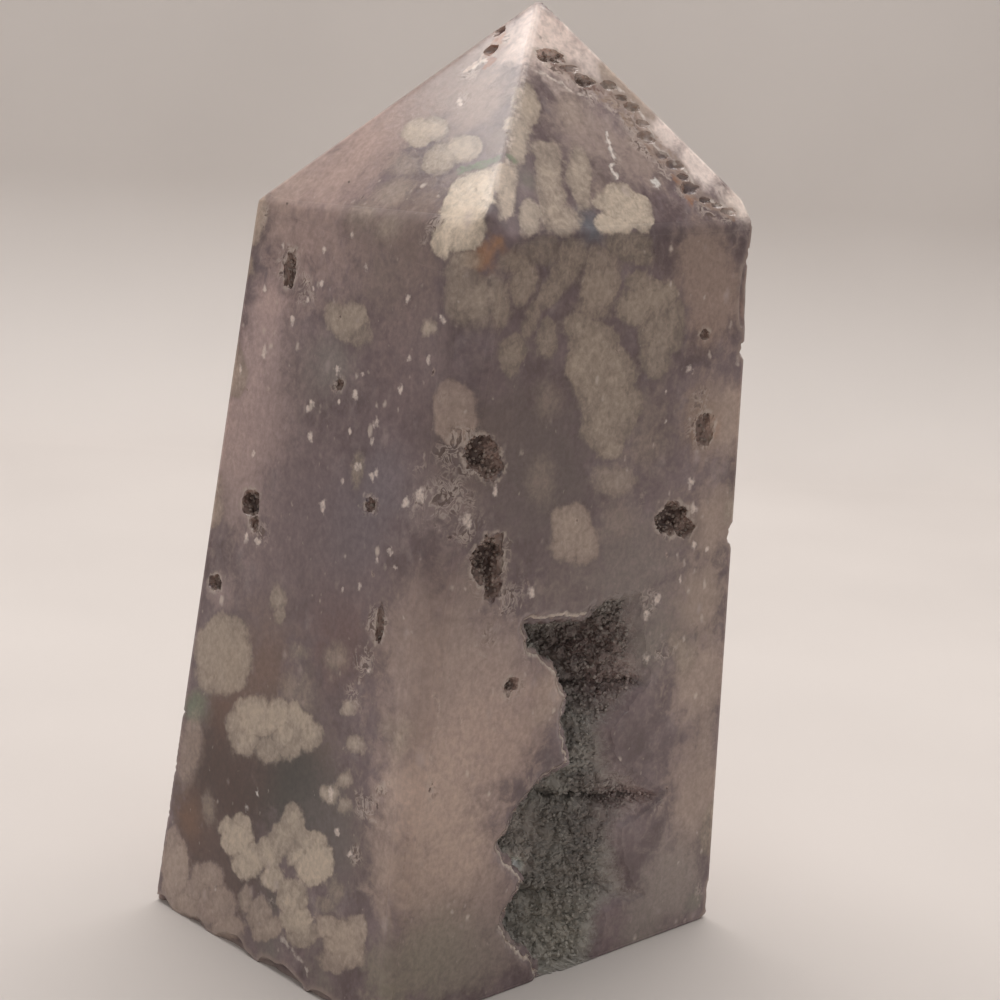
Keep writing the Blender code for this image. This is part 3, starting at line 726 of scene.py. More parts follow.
# Fine marks: pixels of the photograph along a line, half width in mm, colour, strength.
marks = [
    # The first is a painted highlight along the front ridge of the cap, down from the tip.
    ([(538, 9), (532, 40), (525, 72), (517, 112), (508, 158)], 0.45, (226, 210, 200), 0.3),
    ([(502, 34), (500, 40), (497, 47)], 0.5, (160, 108, 80), 0.85),
    ([(491, 50), (485, 56), (492, 62), (486, 67)], 0.42, (142, 94, 74), 0.85),
    ([(464, 72), (471, 67), (478, 61), (485, 54)], 0.3, (206, 186, 174), 0.7),
    ([(458, 98), (461, 105)], 0.3, (214, 198, 188), 0.8),
    ([(592, 84), (600, 96), (612, 102), (622, 112), (630, 124)], 0.7, (150, 128, 112), 0.6),
    ([(630, 110), (640, 120), (645, 136), (652, 146)], 0.7, (146, 122, 106), 0.6),
    ([(640, 124), (652, 134), (664, 148), (676, 158), (686, 172)], 0.6, (150, 128, 114), 0.55),
    ([(676, 178), (686, 188), (690, 200)], 0.6, (148, 106, 80), 0.7),
    ([(607, 135), (611, 150), (613, 165), (616, 178)], 0.24, (228, 218, 210), 0.9),
    ([(548, 58), (566, 70), (586, 86), (604, 89)], 0.62, (104, 74, 66), 0.75),
    ([(604, 89), (622, 101), (633, 112), (640, 130), (650, 150), (662, 160), (676, 168)],
     0.5, (126, 98, 84), 0.7),
    ([(676, 168), (684, 180), (690, 194), (705, 203), (718, 208), (733, 218)], 0.42, (128, 98, 80), 0.7),
    ([(612, 84), (628, 96), (641, 112), (650, 130), (657, 148), (668, 157)], 0.22, (232, 222, 214), 0.9),
    ([(668, 157), (682, 166), (691, 180), (697, 196), (712, 203), (726, 208), (737, 216)],
     0.2, (232, 222, 214), 0.9),
    ([(536, 70), (548, 76), (562, 84), (576, 94), (592, 98)], 0.2, (214, 200, 190), 0.7),
    ([(655, 182), (656, 183)], 0.62, (228, 222, 216), 0.9),
    ([(489, 50), (497, 38)], 0.5, (150, 98, 70), 0.8),
    ([(474, 67), (486, 60)], 0.42, (222, 208, 196), 0.7),
    ([(462, 169), (478, 166), (496, 160), (514, 158)], 0.5, (112, 124, 98), 0.7),
    ([(433, 694), (440, 710), (437, 727), (431, 745), (430, 763)], 0.22, (170, 154, 144), 0.4),
    ([(461, 718), (463, 732)], 0.22, (170, 154, 144), 0.4),
    ([(697, 628), (695, 645), (698, 656)], 0.2, (84, 74, 68), 0.6),
    ([(666, 412), (666, 424)], 0.16, (196, 186, 178), 0.8),
    ([(208, 689), (224, 698), (240, 696), (247, 688)], 0.22, (88, 70, 62), 0.6),
    ([(257, 784), (257, 798)], 0.14, (226, 220, 214), 0.9),
    ([(247, 802), (246, 812)], 0.16, (226, 220, 214), 0.8),
    ([(281, 938), (292, 950), (302, 962), (306, 972)], 0.25, (164, 154, 146), 0.6),
    ([(548, 786), (560, 789)], 0.2, (90, 72, 66), 0.6),
]
# Pale specks: pixel and radius in mm.
specks = [
    (691, 482, 0.4), (694, 509, 0.5), (695, 544, 0.35), (708, 550, 0.3), (658, 597, 0.5), (647, 614, 0.5),
    (647, 657, 0.55), (467, 520, 0.7), (531, 591, 0.45), (495, 490, 0.4), (338, 830, 0.35), (358, 466, 0.4),
    (322, 505, 0.45), (690, 368, 0.4), (442, 319, 0.3), (665, 391, 0.25), (375, 470, 0.35),
    (372, 440, 0.3), (390, 550, 0.35), (376, 560, 0.3), (395, 565, 0.3), (310, 436, 0.4), (420, 493, 0.6),
    (405, 500, 0.4), (350, 852, 0.3), (312, 404, 0.35), (428, 360, 0.3), (408, 300, 0.35),
    (360, 585, 0.3), (401, 388, 0.35),
    (292, 319, 0.35), (308, 298, 0.3), (321, 283, 0.25), (313, 288, 0.2), (264, 351, 0.45),
    (241, 367, 0.3), (362, 373, 0.25), (355, 394, 0.35), (338, 402, 0.25), (308, 408, 0.3),
    (372, 476, 0.3), (341, 481, 0.3), (320, 485, 0.2), (253, 453, 0.3), (246, 536, 0.4), (257, 541, 0.4),
    (410, 357, 0.3), (351, 234, 0.3), (283, 246, 0.3), (265, 287, 0.3),
    (376, 421, 0.35), (338, 368, 0.3), (343, 590, 0.25),
    (330, 793, 0.6), (681, 578, 0.3), (324, 249, 0.3), (366, 267, 0.25), (350, 431, 0.3), (368, 669, 0.25),
]
# Pinholes with a pale ring: pixel and radius in mm. The dark middle is partly brown fill and partly painted
# shade of the tiny hole.
pinholes = [
    (359, 802, 0.3), (377, 806, 0.25), (381, 787, 0.2), (356, 855, 0.3), (364, 814, 0.22), (334, 388, 0.35),
    (268, 390, 0.22), (247, 388, 0.2), (434, 372, 0.25), (287, 203, 0.25), (364, 196, 0.22),
    (349, 181, 0.2), (372, 575, 0.2), (450, 536, 0.25), (281, 513, 0.2), (402, 308, 0.15), (340, 318, 0.2),
    (264, 226, 0.15), (431, 785, 0.2), (430, 791, 0.25),
    (527, 581, 0.25), (577, 519, 0.15), (617, 351, 0.2), (666, 555, 0.15),
]
# How a speck, the ring of a pinhole and its middle are drawn: pixels long, width over the radius, colour,
# strength. All marks are bent: amount in mm, how many to the mm, seed.
dots = {
    "speck": (2, 1.1, (200, 186, 177), 0.68), "ring": (1, 1.7, (160, 142, 131), 0.4),
    # the middle's dark colour is partly brown fill and partly painted shade of the hole
    "middle": (1, 0.8, (62, 46, 42), 0.9), "bend": (0.4, 0.9, 53),
}

# Where the polish has cut through druse, so that its surface is mottled: pixel, radius in mm, weight.
crusts = [
    (462, 452, 3.0, 1.0), (440, 500, 3.2, 0.9), (415, 505, 1.6, 0.6), (470, 530, 2.0, 0.8),
    (490, 565, 3.0, 1.0), (510, 600, 2.4, 0.8), (440, 400, 1.2, 0.5), (672, 520, 2.4, 1.0),
    (645, 500, 1.4, 0.5), (700, 430, 2.4, 1.0), (702, 398, 1.6, 0.8), (288, 265, 2.2, 1.0),
    (305, 290, 2.0, 0.7), (265, 215, 1.6, 0.5), (250, 505, 1.6, 1.0), (262, 528, 1.8, 0.8),
    (215, 582, 1.3, 1.0), (377, 622, 1.9, 1.0), (364, 660, 2.2, 0.9), (352, 695, 1.8, 0.7),
    (365, 806, 1.9, 1.0), (382, 790, 1.4, 0.7), (356, 855, 1.2, 0.9), (339, 385, 0.9, 0.8),
    (372, 504, 1.2, 1.0), (434, 222, 1.3, 0.9), (424, 240, 1.1, 0.6), (510, 690, 1.8, 0.8),
    (490, 640, 2.2, 0.6), (528, 655, 1.5, 0.5), (500, 41, 1.2, 1.0), (488, 57, 1.4, 1.0), (472, 72, 1.5, 0.8),
    (462, 100, 1.5, 0.6), (558, 68, 1.9, 1.0), (588, 90, 1.9, 1.0), (612, 104, 1.6, 1.0),
    (631, 124, 1.8, 1.0), (647, 147, 1.9, 1.0), (664, 167, 1.8, 1.0), (684, 190, 1.6, 1.0),
    (705, 208, 1.5, 0.9), (727, 216, 1.3, 1.0), (614, 160, 1.5, 0.6), (540, 30, 1.4, 0.6),
    (650, 600, 2.0, 0.8), (662, 652, 2.0, 0.7), (690, 628, 1.6, 0.4), (655, 800, 1.6, 0.6),
    (540, 950, 1.8, 0.5), (386, 740, 1.4, 0.4), (433, 790, 1.2, 0.5), (700, 890, 1.2, 0.7),
    (270, 900, 1.0, 0.5), (420, 470, 1.6, 0.5),
]

# Where small pale specks lie close together: pixel, radius in mm, weight.
speckled = [
    (378, 430, 5.0, 1.0), (365, 480, 4.5, 0.9), (330, 400, 6.0, 0.8), (280, 340, 5.0, 0.8),
    (255, 290, 4.0, 0.9), (320, 270, 4.0, 0.7), (380, 540, 5.0, 0.9), (420, 330, 5.0, 0.6),
    (300, 460, 5.0, 0.6), (255, 520, 2.5, 0.9), (360, 600, 4.0, 0.6), (345, 700, 4.0, 0.7),
    (440, 490, 4.0, 0.9), (690, 500, 3.5, 0.8), (690, 560, 3.5, 0.7), (650, 610, 3.0, 0.8),
    (640, 470, 3.0, 0.5), (705, 400, 3.0, 0.6), (690, 850, 2.5, 0.7), (380, 760, 3.0, 0.6),
    (400, 600, 4.0, 0.5), (500, 470, 3.0, 0.4), (350, 200, 5.0, 0.5), (610, 120, 3.0, 0.4),
    (660, 170, 3.0, 0.5),
]


def lobeAxes(px, py, rx, ry, turn, spot, normal):
    cosine, sine = math.cos(math.radians(turn)), math.sin(math.radians(turn))
    across = alongFace(px + rx * cosine, py + rx * sine, spot, normal) - spot
    upward = alongFace(px + ry * sine, py - ry * cosine, spot, normal) - spot
    return across, upward, normal * flowers["depth"] * (across.length + upward.length)


def flowerLobes():  # every lobe as centre, three half axes and look
    found = []
    for look, lobes in flowers["seen"]:
        for px, py, rx, ry, turn in lobes:
            spot, normal = onStone(px, py)
            found.append((spot, lobeAxes(px, py, rx, ry, turn, spot, normal), look))
    pick = random.Random(flowers["seed"])
    for place, normal, width, height, count in flowers["behind"].values():
        normal = Vector(normal).normalized()
        level = Vector((0, 0, 1)).cross(normal).normalized()
        steep = normal.cross(level)
        for _ in range(count):
            group = level * pick.uniform(-0.5, 0.5) * width + steep * pick.uniform(-0.5, 0.5) * height
            look = tuple(pick.uniform(*limits) for limits in flowers["looks"])
            spread = pick.uniform(*flowers["spread"])
            for _ in range(pick.randint(*flowers["lobes"])):
                shift = level * pick.uniform(-spread, spread) + steep * pick.uniform(-spread, spread)
                size, taller = pick.uniform(*flowers["radius"]), pick.uniform(*flowers["taller"])
                axes = level * size, steep * size * taller, normal * size
                found.append((Vector(place) + group + shift, axes, look))
    return found


allLobes = flowerLobes()


def bent(points, amount, scale, seed):
    shift = Vector((seed, -seed, 0.5 * seed))
    bends = [noise.noise_vector(Vector(point) * scale + shift)[:] for point in points.tolist()]
    return points + amount * np.array(bends)


def squaredFrom(points, spot):
    return ((points - np.array(spot)) ** 2).sum(axis=1)


def flowerLooks(points):  # in each row: depth inside the nearest lobe, from the next lobe, look and shade
    for bend in flowers["bends"]:
        points = bent(points, *bend)
    looks = np.tile(flowers["none"], (len(points), 1))
    farthest = flowers["none"][1]
    shades = random.Random(flowers["seed"] + 1)
    for spot, axes, look in allLobes:
        shade = shades.random()
        size = min(axis.length for axis in axes[:2])
        reach = max(axis.length for axis in axes) + flowers["reach"]
        near = np.nonzero(squaredFrom(points, spot) < reach ** 2)[0]
        turnBack = np.linalg.inv(np.array([axis[:] for axis in axes]).T)
        local = (points[near] - np.array(spot)) @ turnBack.T
        distance = (1.0 - np.sqrt((local ** 2).sum(axis=1))) * size
        before = looks[near, 0]
        second = np.minimum(looks[near, 1] + np.maximum(distance - before, 0.0), farthest)
        second = np.minimum(second, before - distance)
        looks[near, 1] = np.where(distance > before, distance - before, second)
        ahead = near[distance > before]
        looks[ahead, 0] = distance[distance > before]
        looks[ahead, 2:] = (*look, shade)
    return looks


def asLines(places, kind):  # specks and pinholes are marks of a pixel or two
    length, wider, colour, strength = dots[kind]
    return [([(px, py), (px, py + length)], wider * radius, colour, strength) for px, py, radius in places]


def markField(points):  # colour of the nearest fine mark and how far inside it a point lies
    points = bent(points, *dots["bend"])
    field = np.zeros((len(points), 4))
    lines = asLines(specks, "speck") + marks + asLines(pinholes, "ring") + asLines(pinholes, "middle")
    for pixels, width, colour, strength in lines:
        spots = [np.array(onStone(px, py)[0]) for px, py in pixels]
        middle = sum(spots) / len(spots)
        reach = max(np.linalg.norm(spot - middle) for spot in spots) + 2 * width
        near = np.nonzero(squaredFrom(points, middle) < reach ** 2)[0]
        away = np.full(len(near), np.inf)
        for start, end in zip(spots, spots[1:]):
            along = ((points[near] - start) @ (end - start)) / ((end - start) @ (end - start))
            closest = start + np.clip(along, 0, 1)[:, None] * (end - start)
            away = np.minimum(away, np.sqrt(squaredFrom(points[near], closest)))
        cover = np.clip(1.5 - away / width, 0.0, 1.0) * strength
        ahead = cover > field[near, 3]
        field[near[ahead], :3] = liftColour(linear(*colour), spots[0])
        field[near[ahead], 3] = cover[ahead]
    return field


def zoneField(points, zones):  # how much a point lies in any of some round zones
    field = np.zeros(len(points))
    for px, py, radius, weight in zones:
        fall = np.exp(-squaredFrom(points, onStone(px, py)[0]) / radius ** 2)
        field = np.maximum(field, weight * fall)
    return field


# Stains and tints as seen: pixel of the photograph, radius in mm, colour on the 0 to 255 scale, weight.
stains = {
    "shade": (0.6, 0.48), "shadeCap": 0.86,    # how much light reaches the left face, the others, the cap
    "palest": 0.88,
    "seen": [
        (245, 690, 6.5, (98, 78, 70), 0.8), (222, 775, 7.0, (58, 40, 34), 1.4),
        (212, 850, 6.0, (66, 46, 41), 1.2), (292, 778, 5.5, (56, 52, 48), 1.3),
        (330, 830, 4.5, (82, 74, 72), 0.9), (240, 870, 4.0, (62, 46, 42), 1.0),
        (235, 700, 3.0, (104, 78, 66), 0.7), (268, 668, 3.2, (98, 76, 66), 0.7),
        (229, 716, 2.0, (82, 56, 44), 1.4), (262, 768, 2.8, (66, 46, 41), 0.8),
        (192, 818, 2.4, (116, 84, 62), 0.8), (212, 845, 3.4, (86, 68, 62), 0.85),
        (220, 880, 2.0, (84, 66, 60), 0.8), (235, 875, 2.2, (78, 64, 60), 0.7),
        (273, 900, 1.6, (74, 66, 62), 0.8), (268, 945, 2.4, (98, 90, 86), 0.8),
        (199, 704, 1.5, (108, 116, 98), 0.85), (192, 712, 1.2, (112, 122, 104), 0.8),
        (290, 772, 3.6, (50, 47, 43), 1.0), (318, 812, 3.2, (84, 76, 74), 0.8),
        (336, 850, 3.2, (88, 78, 76), 0.7), (320, 745, 3.0, (98, 82, 76), 0.5),
        (270, 625, 4.0, (100, 84, 80), 0.7), (330, 560, 7.0, (98, 83, 83), 0.7),
        (340, 645, 5.0, (92, 70, 68), 0.8), (300, 500, 7.0, (102, 88, 90), 0.6),
        (262, 560, 4.0, (108, 92, 92), 0.5), (258, 420, 4.5, (140, 121, 118), 1.2),
        (240, 500, 3.5, (130, 113, 110), 1.0), (243, 380, 4.0, (156, 135, 131), 1.2),
        (263, 340, 3.2, (150, 130, 127), 1.0), (270, 305, 2.4, (158, 136, 131), 1.0),
        (236, 450, 4.0, (148, 128, 124), 1.2), (222, 590, 3.0, (124, 108, 106), 0.8),
        (330, 362, 3.0, (110, 103, 99), 0.8), (385, 480, 4.0, (104, 95, 99), 0.9),
        (350, 530, 5.0, (96, 87, 91), 0.9), (430, 350, 3.0, (108, 94, 93), 0.7),
        (300, 380, 7.0, (112, 98, 95), 0.6), (400, 330, 6.0, (112, 95, 93), 0.6),
        (300, 240, 7.0, (146, 124, 118), 0.6), (350, 260, 6.0, (128, 110, 104), 0.5),
        (410, 260, 5.0, (110, 94, 88), 0.7), (385, 280, 3.0, (104, 92, 86), 0.5),
        (400, 420, 6.0, (104, 88, 88), 0.6), (420, 590, 4.0, (112, 96, 92), 0.6),
        (440, 660, 6.0, (138, 121, 113), 0.9), (470, 720, 6.0, (140, 121, 112), 0.9),
        (430, 800, 6.5, (141, 123, 113), 0.95), (460, 860, 5.5, (139, 121, 111), 0.9),
        (400, 880, 4.5, (136, 118, 108), 0.8), (420, 700, 4.0, (124, 108, 103), 0.7),
        (400, 640, 3.5, (122, 105, 98), 0.7), (510, 740, 5.0, (128, 110, 102), 0.9),
        (500, 660, 4.5, (120, 105, 99), 0.8), (545, 690, 2.6, (142, 122, 113), 0.7),
        (490, 900, 3.5, (112, 97, 92), 0.8), (500, 950, 4.0, (100, 88, 84), 0.7),
        (436, 950, 4.5, (102, 94, 85), 1.2), (470, 960, 4.0, (106, 97, 89), 0.8),
        (385, 985, 4.0, (112, 103, 92), 0.7), (320, 975, 3.0, (104, 94, 88), 0.7),
        (500, 47, 1.2, (120, 88, 74), 0.7), (560, 66, 1.4, (112, 84, 74), 0.6),
        (590, 225, 2.2, (108, 108, 114), 0.75), (528, 178, 1.5, (118, 112, 102), 0.6),
        (700, 429, 2.4, (92, 72, 60), 0.85), (713, 428, 0.8, (140, 100, 76), 0.8),
        (700, 400, 2.4, (114, 98, 88), 0.6), (705, 335, 1.6, (100, 82, 74), 0.6),
        # The next five, pale along the upper right edge of the cap, are partly the stone's pale tone and
        # partly a painted reflection.
        (545, 40, 5.0, (228, 208, 198), 1.0), (609, 71, 4.0, (214, 198, 190), 1.0),
        (658, 121, 3.0, (228, 212, 204), 1.3), (699, 166, 2.6, (228, 212, 204), 1.3),
        (738, 207, 2.0, (222, 206, 196), 1.2), (585, 135, 5.0, (158, 140, 132), 0.8),
        (640, 160, 4.0, (152, 134, 126), 0.8), (480, 100, 4.0, (158, 136, 126), 0.6),
        (438, 82, 6.0, (134, 115, 108), 1.1), (380, 130, 6.0, (172, 146, 137), 0.7),
        (340, 175, 6.0, (160, 138, 130), 0.7), (280, 190, 5.0, (164, 143, 133), 0.7),
        (470, 115, 3.5, (142, 123, 116), 0.7), (500, 140, 3.0, (138, 120, 112), 0.7),
        (420, 200, 4.0, (132, 114, 106), 0.7), (480, 258, 1.5, (142, 104, 76), 0.9),
        (497, 243, 0.9, (132, 98, 72), 0.7), (513, 258, 1.1, (86, 70, 66), 0.95),
        (590, 320, 3.0, (96, 82, 76), 0.4), (620, 600, 5.0, (98, 88, 84), 0.6),
        (650, 560, 6.0, (104, 94, 90), 0.6), (620, 660, 4.0, (96, 86, 82), 0.5),
        (655, 640, 4.0, (98, 90, 84), 0.7), (700, 600, 4.0, (122, 107, 98), 1.1),
        (700, 680, 4.5, (130, 114, 105), 1.2), (700, 800, 4.5, (128, 112, 103), 1.2),
        (690, 760, 4.0, (120, 104, 97), 0.7), (670, 880, 5.0, (108, 98, 93), 1.1),
        (694, 902, 1.4, (92, 88, 80), 0.9), (640, 930, 4.0, (103, 94, 90), 0.9),
        (520, 440, 7.0, (82, 71, 69), 0.8), (550, 480, 6.0, (80, 70, 68), 0.9),
        (615, 560, 5.0, (92, 81, 78), 0.7), (560, 590, 4.0, (98, 86, 82), 0.6),
        (650, 420, 5.0, (106, 93, 87), 0.6), (715, 300, 4.5, (118, 101, 93), 1.1),
        (700, 260, 4.0, (113, 97, 89), 1.1), (725, 420, 4.0, (130, 114, 105), 1.2),
        (715, 520, 4.0, (126, 110, 101), 1.1), (462, 455, 3.6, (82, 68, 63), 0.9),
        (485, 475, 1.2, (58, 46, 43), 0.9), (490, 440, 2.4, (84, 72, 68), 0.7),
        (430, 505, 3.4, (118, 104, 102), 0.8), (455, 500, 3.0, (120, 105, 101), 0.7),
        (492, 562, 2.6, (84, 72, 66), 0.85), (470, 590, 3.0, (108, 94, 88), 0.6),
        (672, 520, 2.8, (92, 78, 74), 0.8), (693, 530, 1.2, (68, 54, 50), 0.9),
    ],
    "behind": [
        ((23.0, 6.0, 30.0), 9.0, (104, 92, 90), 0.6), ((23.0, -8.0, 60.0), 8.0, (122, 104, 94), 0.5),
        ((22.0, 10.0, 66.0), 6.0, (110, 112, 98), 0.5), ((6.0, 19.0, 12.0), 8.0, (96, 92, 82), 0.6),
        ((-10.0, 18.0, 50.0), 9.0, (132, 115, 106), 0.6), ((10.0, 17.0, 62.0), 7.0, (112, 88, 76), 0.5),
        ((-4.0, 18.5, 34.0), 7.0, (94, 82, 82), 0.6), ((23.5, -2.0, 10.0), 8.0, (128, 112, 103), 0.6),
        ((12.0, 4.0, 92.0), 8.0, (196, 178, 168), 0.6),
    ],
}


def liftColour(colour, spot):  # the stone's own colour behind a colour seen in the shade
    normal = facing(np.array(spot)[None])[0]
    upright = stains["shade"][0] if normal[0] < -0.8 else stains["shade"][1]
    light = upright + (stains["shadeCap"] - upright) * smoothStep(0.2, 0.6, normal[2])
    lifted = np.array(colour) / light
    return lifted * min(1.0, stains["palest"] / lifted.max())


def stainField(points, seen, behind, finder):
    total = np.zeros((len(points), 3))
    weights = np.zeros(len(points))
    clear = np.ones(len(points))
    placed = [(finder(px, py)[0], radius, colour, weight) for px, py, radius, colour, weight in seen]
    placed += [(Vector(spot), radius, colour, weight) for spot, radius, colour, weight in behind]
    for spot, radius, colour, weight in placed:
        fall = np.exp(-squaredFrom(points, spot) / radius ** 2)
        total += (fall * weight)[:, None] * liftColour(linear(*colour), spot)
        weights += fall * weight
        clear *= 1.0 - weight * fall
    colours = total / np.maximum(weights, 1e-6)[:, None]
    return np.concatenate([colours, (1.0 - clear)[:, None]], axis=1)


def keepColouring(mesh, points):  # everything that colours the polished stone, for the material to read
    names = ("Edge", "Crease", "Soft", "Strength", "Pink", "Pale", "Shade")
    for name, values in zip(names, flowerLooks(points).T):
        keepNumber(mesh, "flower" + name, values)
    keepColour(mesh, "mark", markField(points))
    keepNumber(mesh, "crusty", zoneField(points, crusts))
    keepNumber(mesh, "speckled", zoneField(points, speckled))
    keepColour(mesh, "stain", stainField(points, stains["seen"], stains["behind"], onStone))


def rimEdges(bm, kindWanted):  # edges where the polish meets the hollow, a pit or a chip
    found = []
    for edge in bm.edges:
        kinds = {face.material_index for face in edge.link_faces}
        if polishKind in kinds and kindWanted in kinds:
            found.append(edge)
    return found


def rimSpots(bm, kindWanted):
    return [edge.verts[0].co.copy() for edge in rimEdges(bm, kindWanted)]


def nearestTree(spots):
    tree = KDTree(len(spots))
    for number, spot in enumerate(spots):
        tree.insert(spot, number)
    tree.balance()
    return tree


def distanceTo(tree, points):
    return np.array([tree.find(point)[2] for point in points.tolist()])


def finishStone(stone):
    bm = bmesh.new()
    bm.from_mesh(stone.data)
    bmesh.ops.remove_doubles(bm, verts=bm.verts, dist=1e-4)
    outline = [[vert.co[:] for vert in edge.verts] for edge in rimEdges(bm, hollowKind)]
    outline = [segment for segment in outline if max(segment[0][1], segment[1][1]) < frontY + 0.02]
    mouth = [Vector(start) * (1 - part) + Vector(end) * part
             for start, end in outline for part in (0, 0.33, 0.67)]
    leftRim = [spot for spot in rimSpots(bm, hollowKind) if spot.x < hollow["leftPart"]]
    mouthTree, chipTree = nearestTree(mouth), nearestTree(rimSpots(bm, chipKind))
    rimTree = nearestTree(rimSpots(bm, pitKind) + leftRim)
    speckTree = nearestTree([onStone(px, py)[0] for px, py, _ in specks + pinholes])

    def wanted(points):
        growth, rim = tower["byLobe"]
        size = tower["fine"] + growth * (np.abs(flowerLooks(points)[:, 0]) - rim)
        size = np.clip(size, tower["fine"], tower["coarse"])
        size[markField(points)[:, 3] > 0.1] = tower["atMarks"]
        fromSpeck = distanceTo(speckTree, bent(points, *dots["bend"]))
        size = np.minimum(size, np.maximum(tower["bySpeck"] * fromSpeck, tower["atSpecks"]))
        atEdges = edgeDistance(points) < tower["edgeReach"]
        size[atEdges] = np.minimum(size[atEdges], tower["atEdges"])
        size[facing(points) @ np.array(cameraAxes()[3]) < 0.0] *= tower["unseen"]
        size[points[:, 2] < 0.01] = tower["atBase"]
        lowX, highX, highZ = tower["nearMouth"]
        x, y, z = points.T
        close = (y < frontY + 0.1) & (z < highZ) & (x < highX) & (x > lowX)
        close[close] = distanceTo(mouthTree, points[close]) < hollow["lipReach"]
        size[close] = tower["atMouth"]
        return size

    refine(bm, wanted)
    turnSlivers(bm)
    stone.data = meshFrom(bm, "polished_stone")
    mesh = stone.data
    spots = meshSpots(mesh)
    keepColouring(mesh, spots)
    # the depth kept for the painted pit shade is made smaller on the cap
    shallower = np.where(facing(spots)[:, 2] > 0.3, pits["capSunk"], 1.0)
    keepNumber(mesh, "sunk", -planeHeights(spots).max(axis=1) * shallower)
    fromLip = distanceTo(mouthTree, spots)
    distances = {
        "rimNear": distanceTo(rimTree, spots), "chipNear": distanceTo(chipTree, spots),
        "edgeNear": edgeDistance(spots),
        "lipNear": np.where(spots[:, 0] < hollow["leftPart"], fromLip, tower["farthest"]),
    }
    for name, distance in distances.items():
        keepNumber(mesh, name, np.clip(distance, 0.0, tower["farthest"]))
    turned = np.clip(1.0 - fromLip / hollow["lipReach"], 0.0, 1.0) ** 2 * lipDepth(spots)
    turned[spots[:, 1] > frontY + 0.01] = 0.0
    worn = wornEdges(spots)
    worn[:, 1] += turned
    placeSpots(mesh, worn)
    untangle(mesh, mouthTree)
    return outline


stone = cutStone()
print("stone cut", len(stone.data.polygons))
hollowOutline = finishStone(stone)
print("stone finished", len(stone.data.polygons))


def crustSheet(outline):
    bm = faceLattice(hollow["sheetSpacing"])
    cutThrough(bm, (0, 0, hollow["seam"]), (0, 0, 1), clear_inner=True)
    spots = spotsOf(bm.verts)
    inside = insideMouth(spots[:, 0], spots[:, 2])
    outer = [vert for vert, value in zip(bm.verts, inside) if value < -hollow["rim"]]
    bmesh.ops.delete(bm, geom=outer, context="VERTS")
    bmesh.ops.delete(bm, geom=[vert for vert in bm.verts if not vert.link_faces], context="VERTS")
    starts = np.array([segment[0] for segment in outline])[:, [0, 2]]
    ends = np.array([segment[1] for segment in outline])[:, [0, 2]]
    for vert in bm.verts:
        if vert.is_boundary:
            spot = np.array([vert.co.x, vert.co.z])
            along = ((spot - starts) * (ends - starts)).sum(axis=1) / ((ends - starts) ** 2).sum(axis=1)
            near = starts + np.clip(along, 0, 1)[:, None] * (ends - starts)
            gaps = np.hypot(*(near - spot).T)
            best = int(gaps.argmin())
            if gaps[best] < 2 * hollow["sheetSpacing"]:
                spot = near[best] + (spot - near[best]) * min(1.0, hollow["hairline"] / max(gaps[best], 1e-6))
                vert.co.x, vert.co.z = spot[0], max(spot[1], hollow["seam"])
    front = bm.verts[:]
    edge = [vert.is_boundary for vert in front]
    spots = spotsOf(front)
    x, z = spots[:, 0], spots[:, 2]
    inside = insideMouth(x, z)
    lip = lipDepth(spots) + hollow["sunk"]
    base = np.maximum(hollowDepth(x, z, inside, 0.0), 0.0)
    inPlace = np.column_stack([x - hollow["undercut"] * base, frontY + base, z])
    relief = sum(height * crystalHeads(inPlace, scale, seed) for height, scale, seed in zip(
        hollow["heads"], hollow["headScale"], (41, 42)))
    relief *= smoothStep(0.0, 2.0, inside) * (1.0 - 0.8 * smoothStep(0.0, 0.4, bareness(inPlace)))
    border = np.clip(inside + hollow["rim"], 0.0, hollow["rim"]) ** 2
    shallow = np.where(edge, lip, np.maximum(base, lip + border))
    deep = crustBack(x, z, inside) - hollow["backGap"]
    deep = np.where(edge, lip + 0.02, np.maximum(deep, shallow + 0.05))
    back = extrudeBack(bm)
    pairs = dict(zip(map(tuple, spotsOf(back)[:, [0, 2]]), back))
    back = [pairs[tuple(spot)] for spot in spots[:, [0, 2]]]
    for verts, depths in ((front, shallow), (back, deep)):
        for vert, depth, start in zip(verts, depths, lip):
            vert.co.x -= hollow["undercut"] * max(depth - start - 0.05, 0.0)
            vert.co.y = frontY + depth
    bmesh.ops.recalc_face_normals(bm, faces=bm.faces)
    bm.normal_update()
    outward = [vert.normal.copy() for vert in front]
    for vert, normal, height in zip(front, outward, relief):
        vert.co += normal * height
        vert.co.y = max(vert.co.y, frontY + hollow["sunk"])
    return bm


sheet = crustSheet(hollowOutline)
crustTree = BVHTree.FromBMesh(sheet)
crust = addObject("hollow_druse", meshFrom(sheet, "hollow_druse"))
print("crust sheet", len(crust.data.polygons))


def onCrust(px, py):
    place, ray = photoRay(px, py)
    spot, normal, _, _ = crustTree.ray_cast(place, ray)
    return (spot, normal) if spot is not None else onStone(px, py)


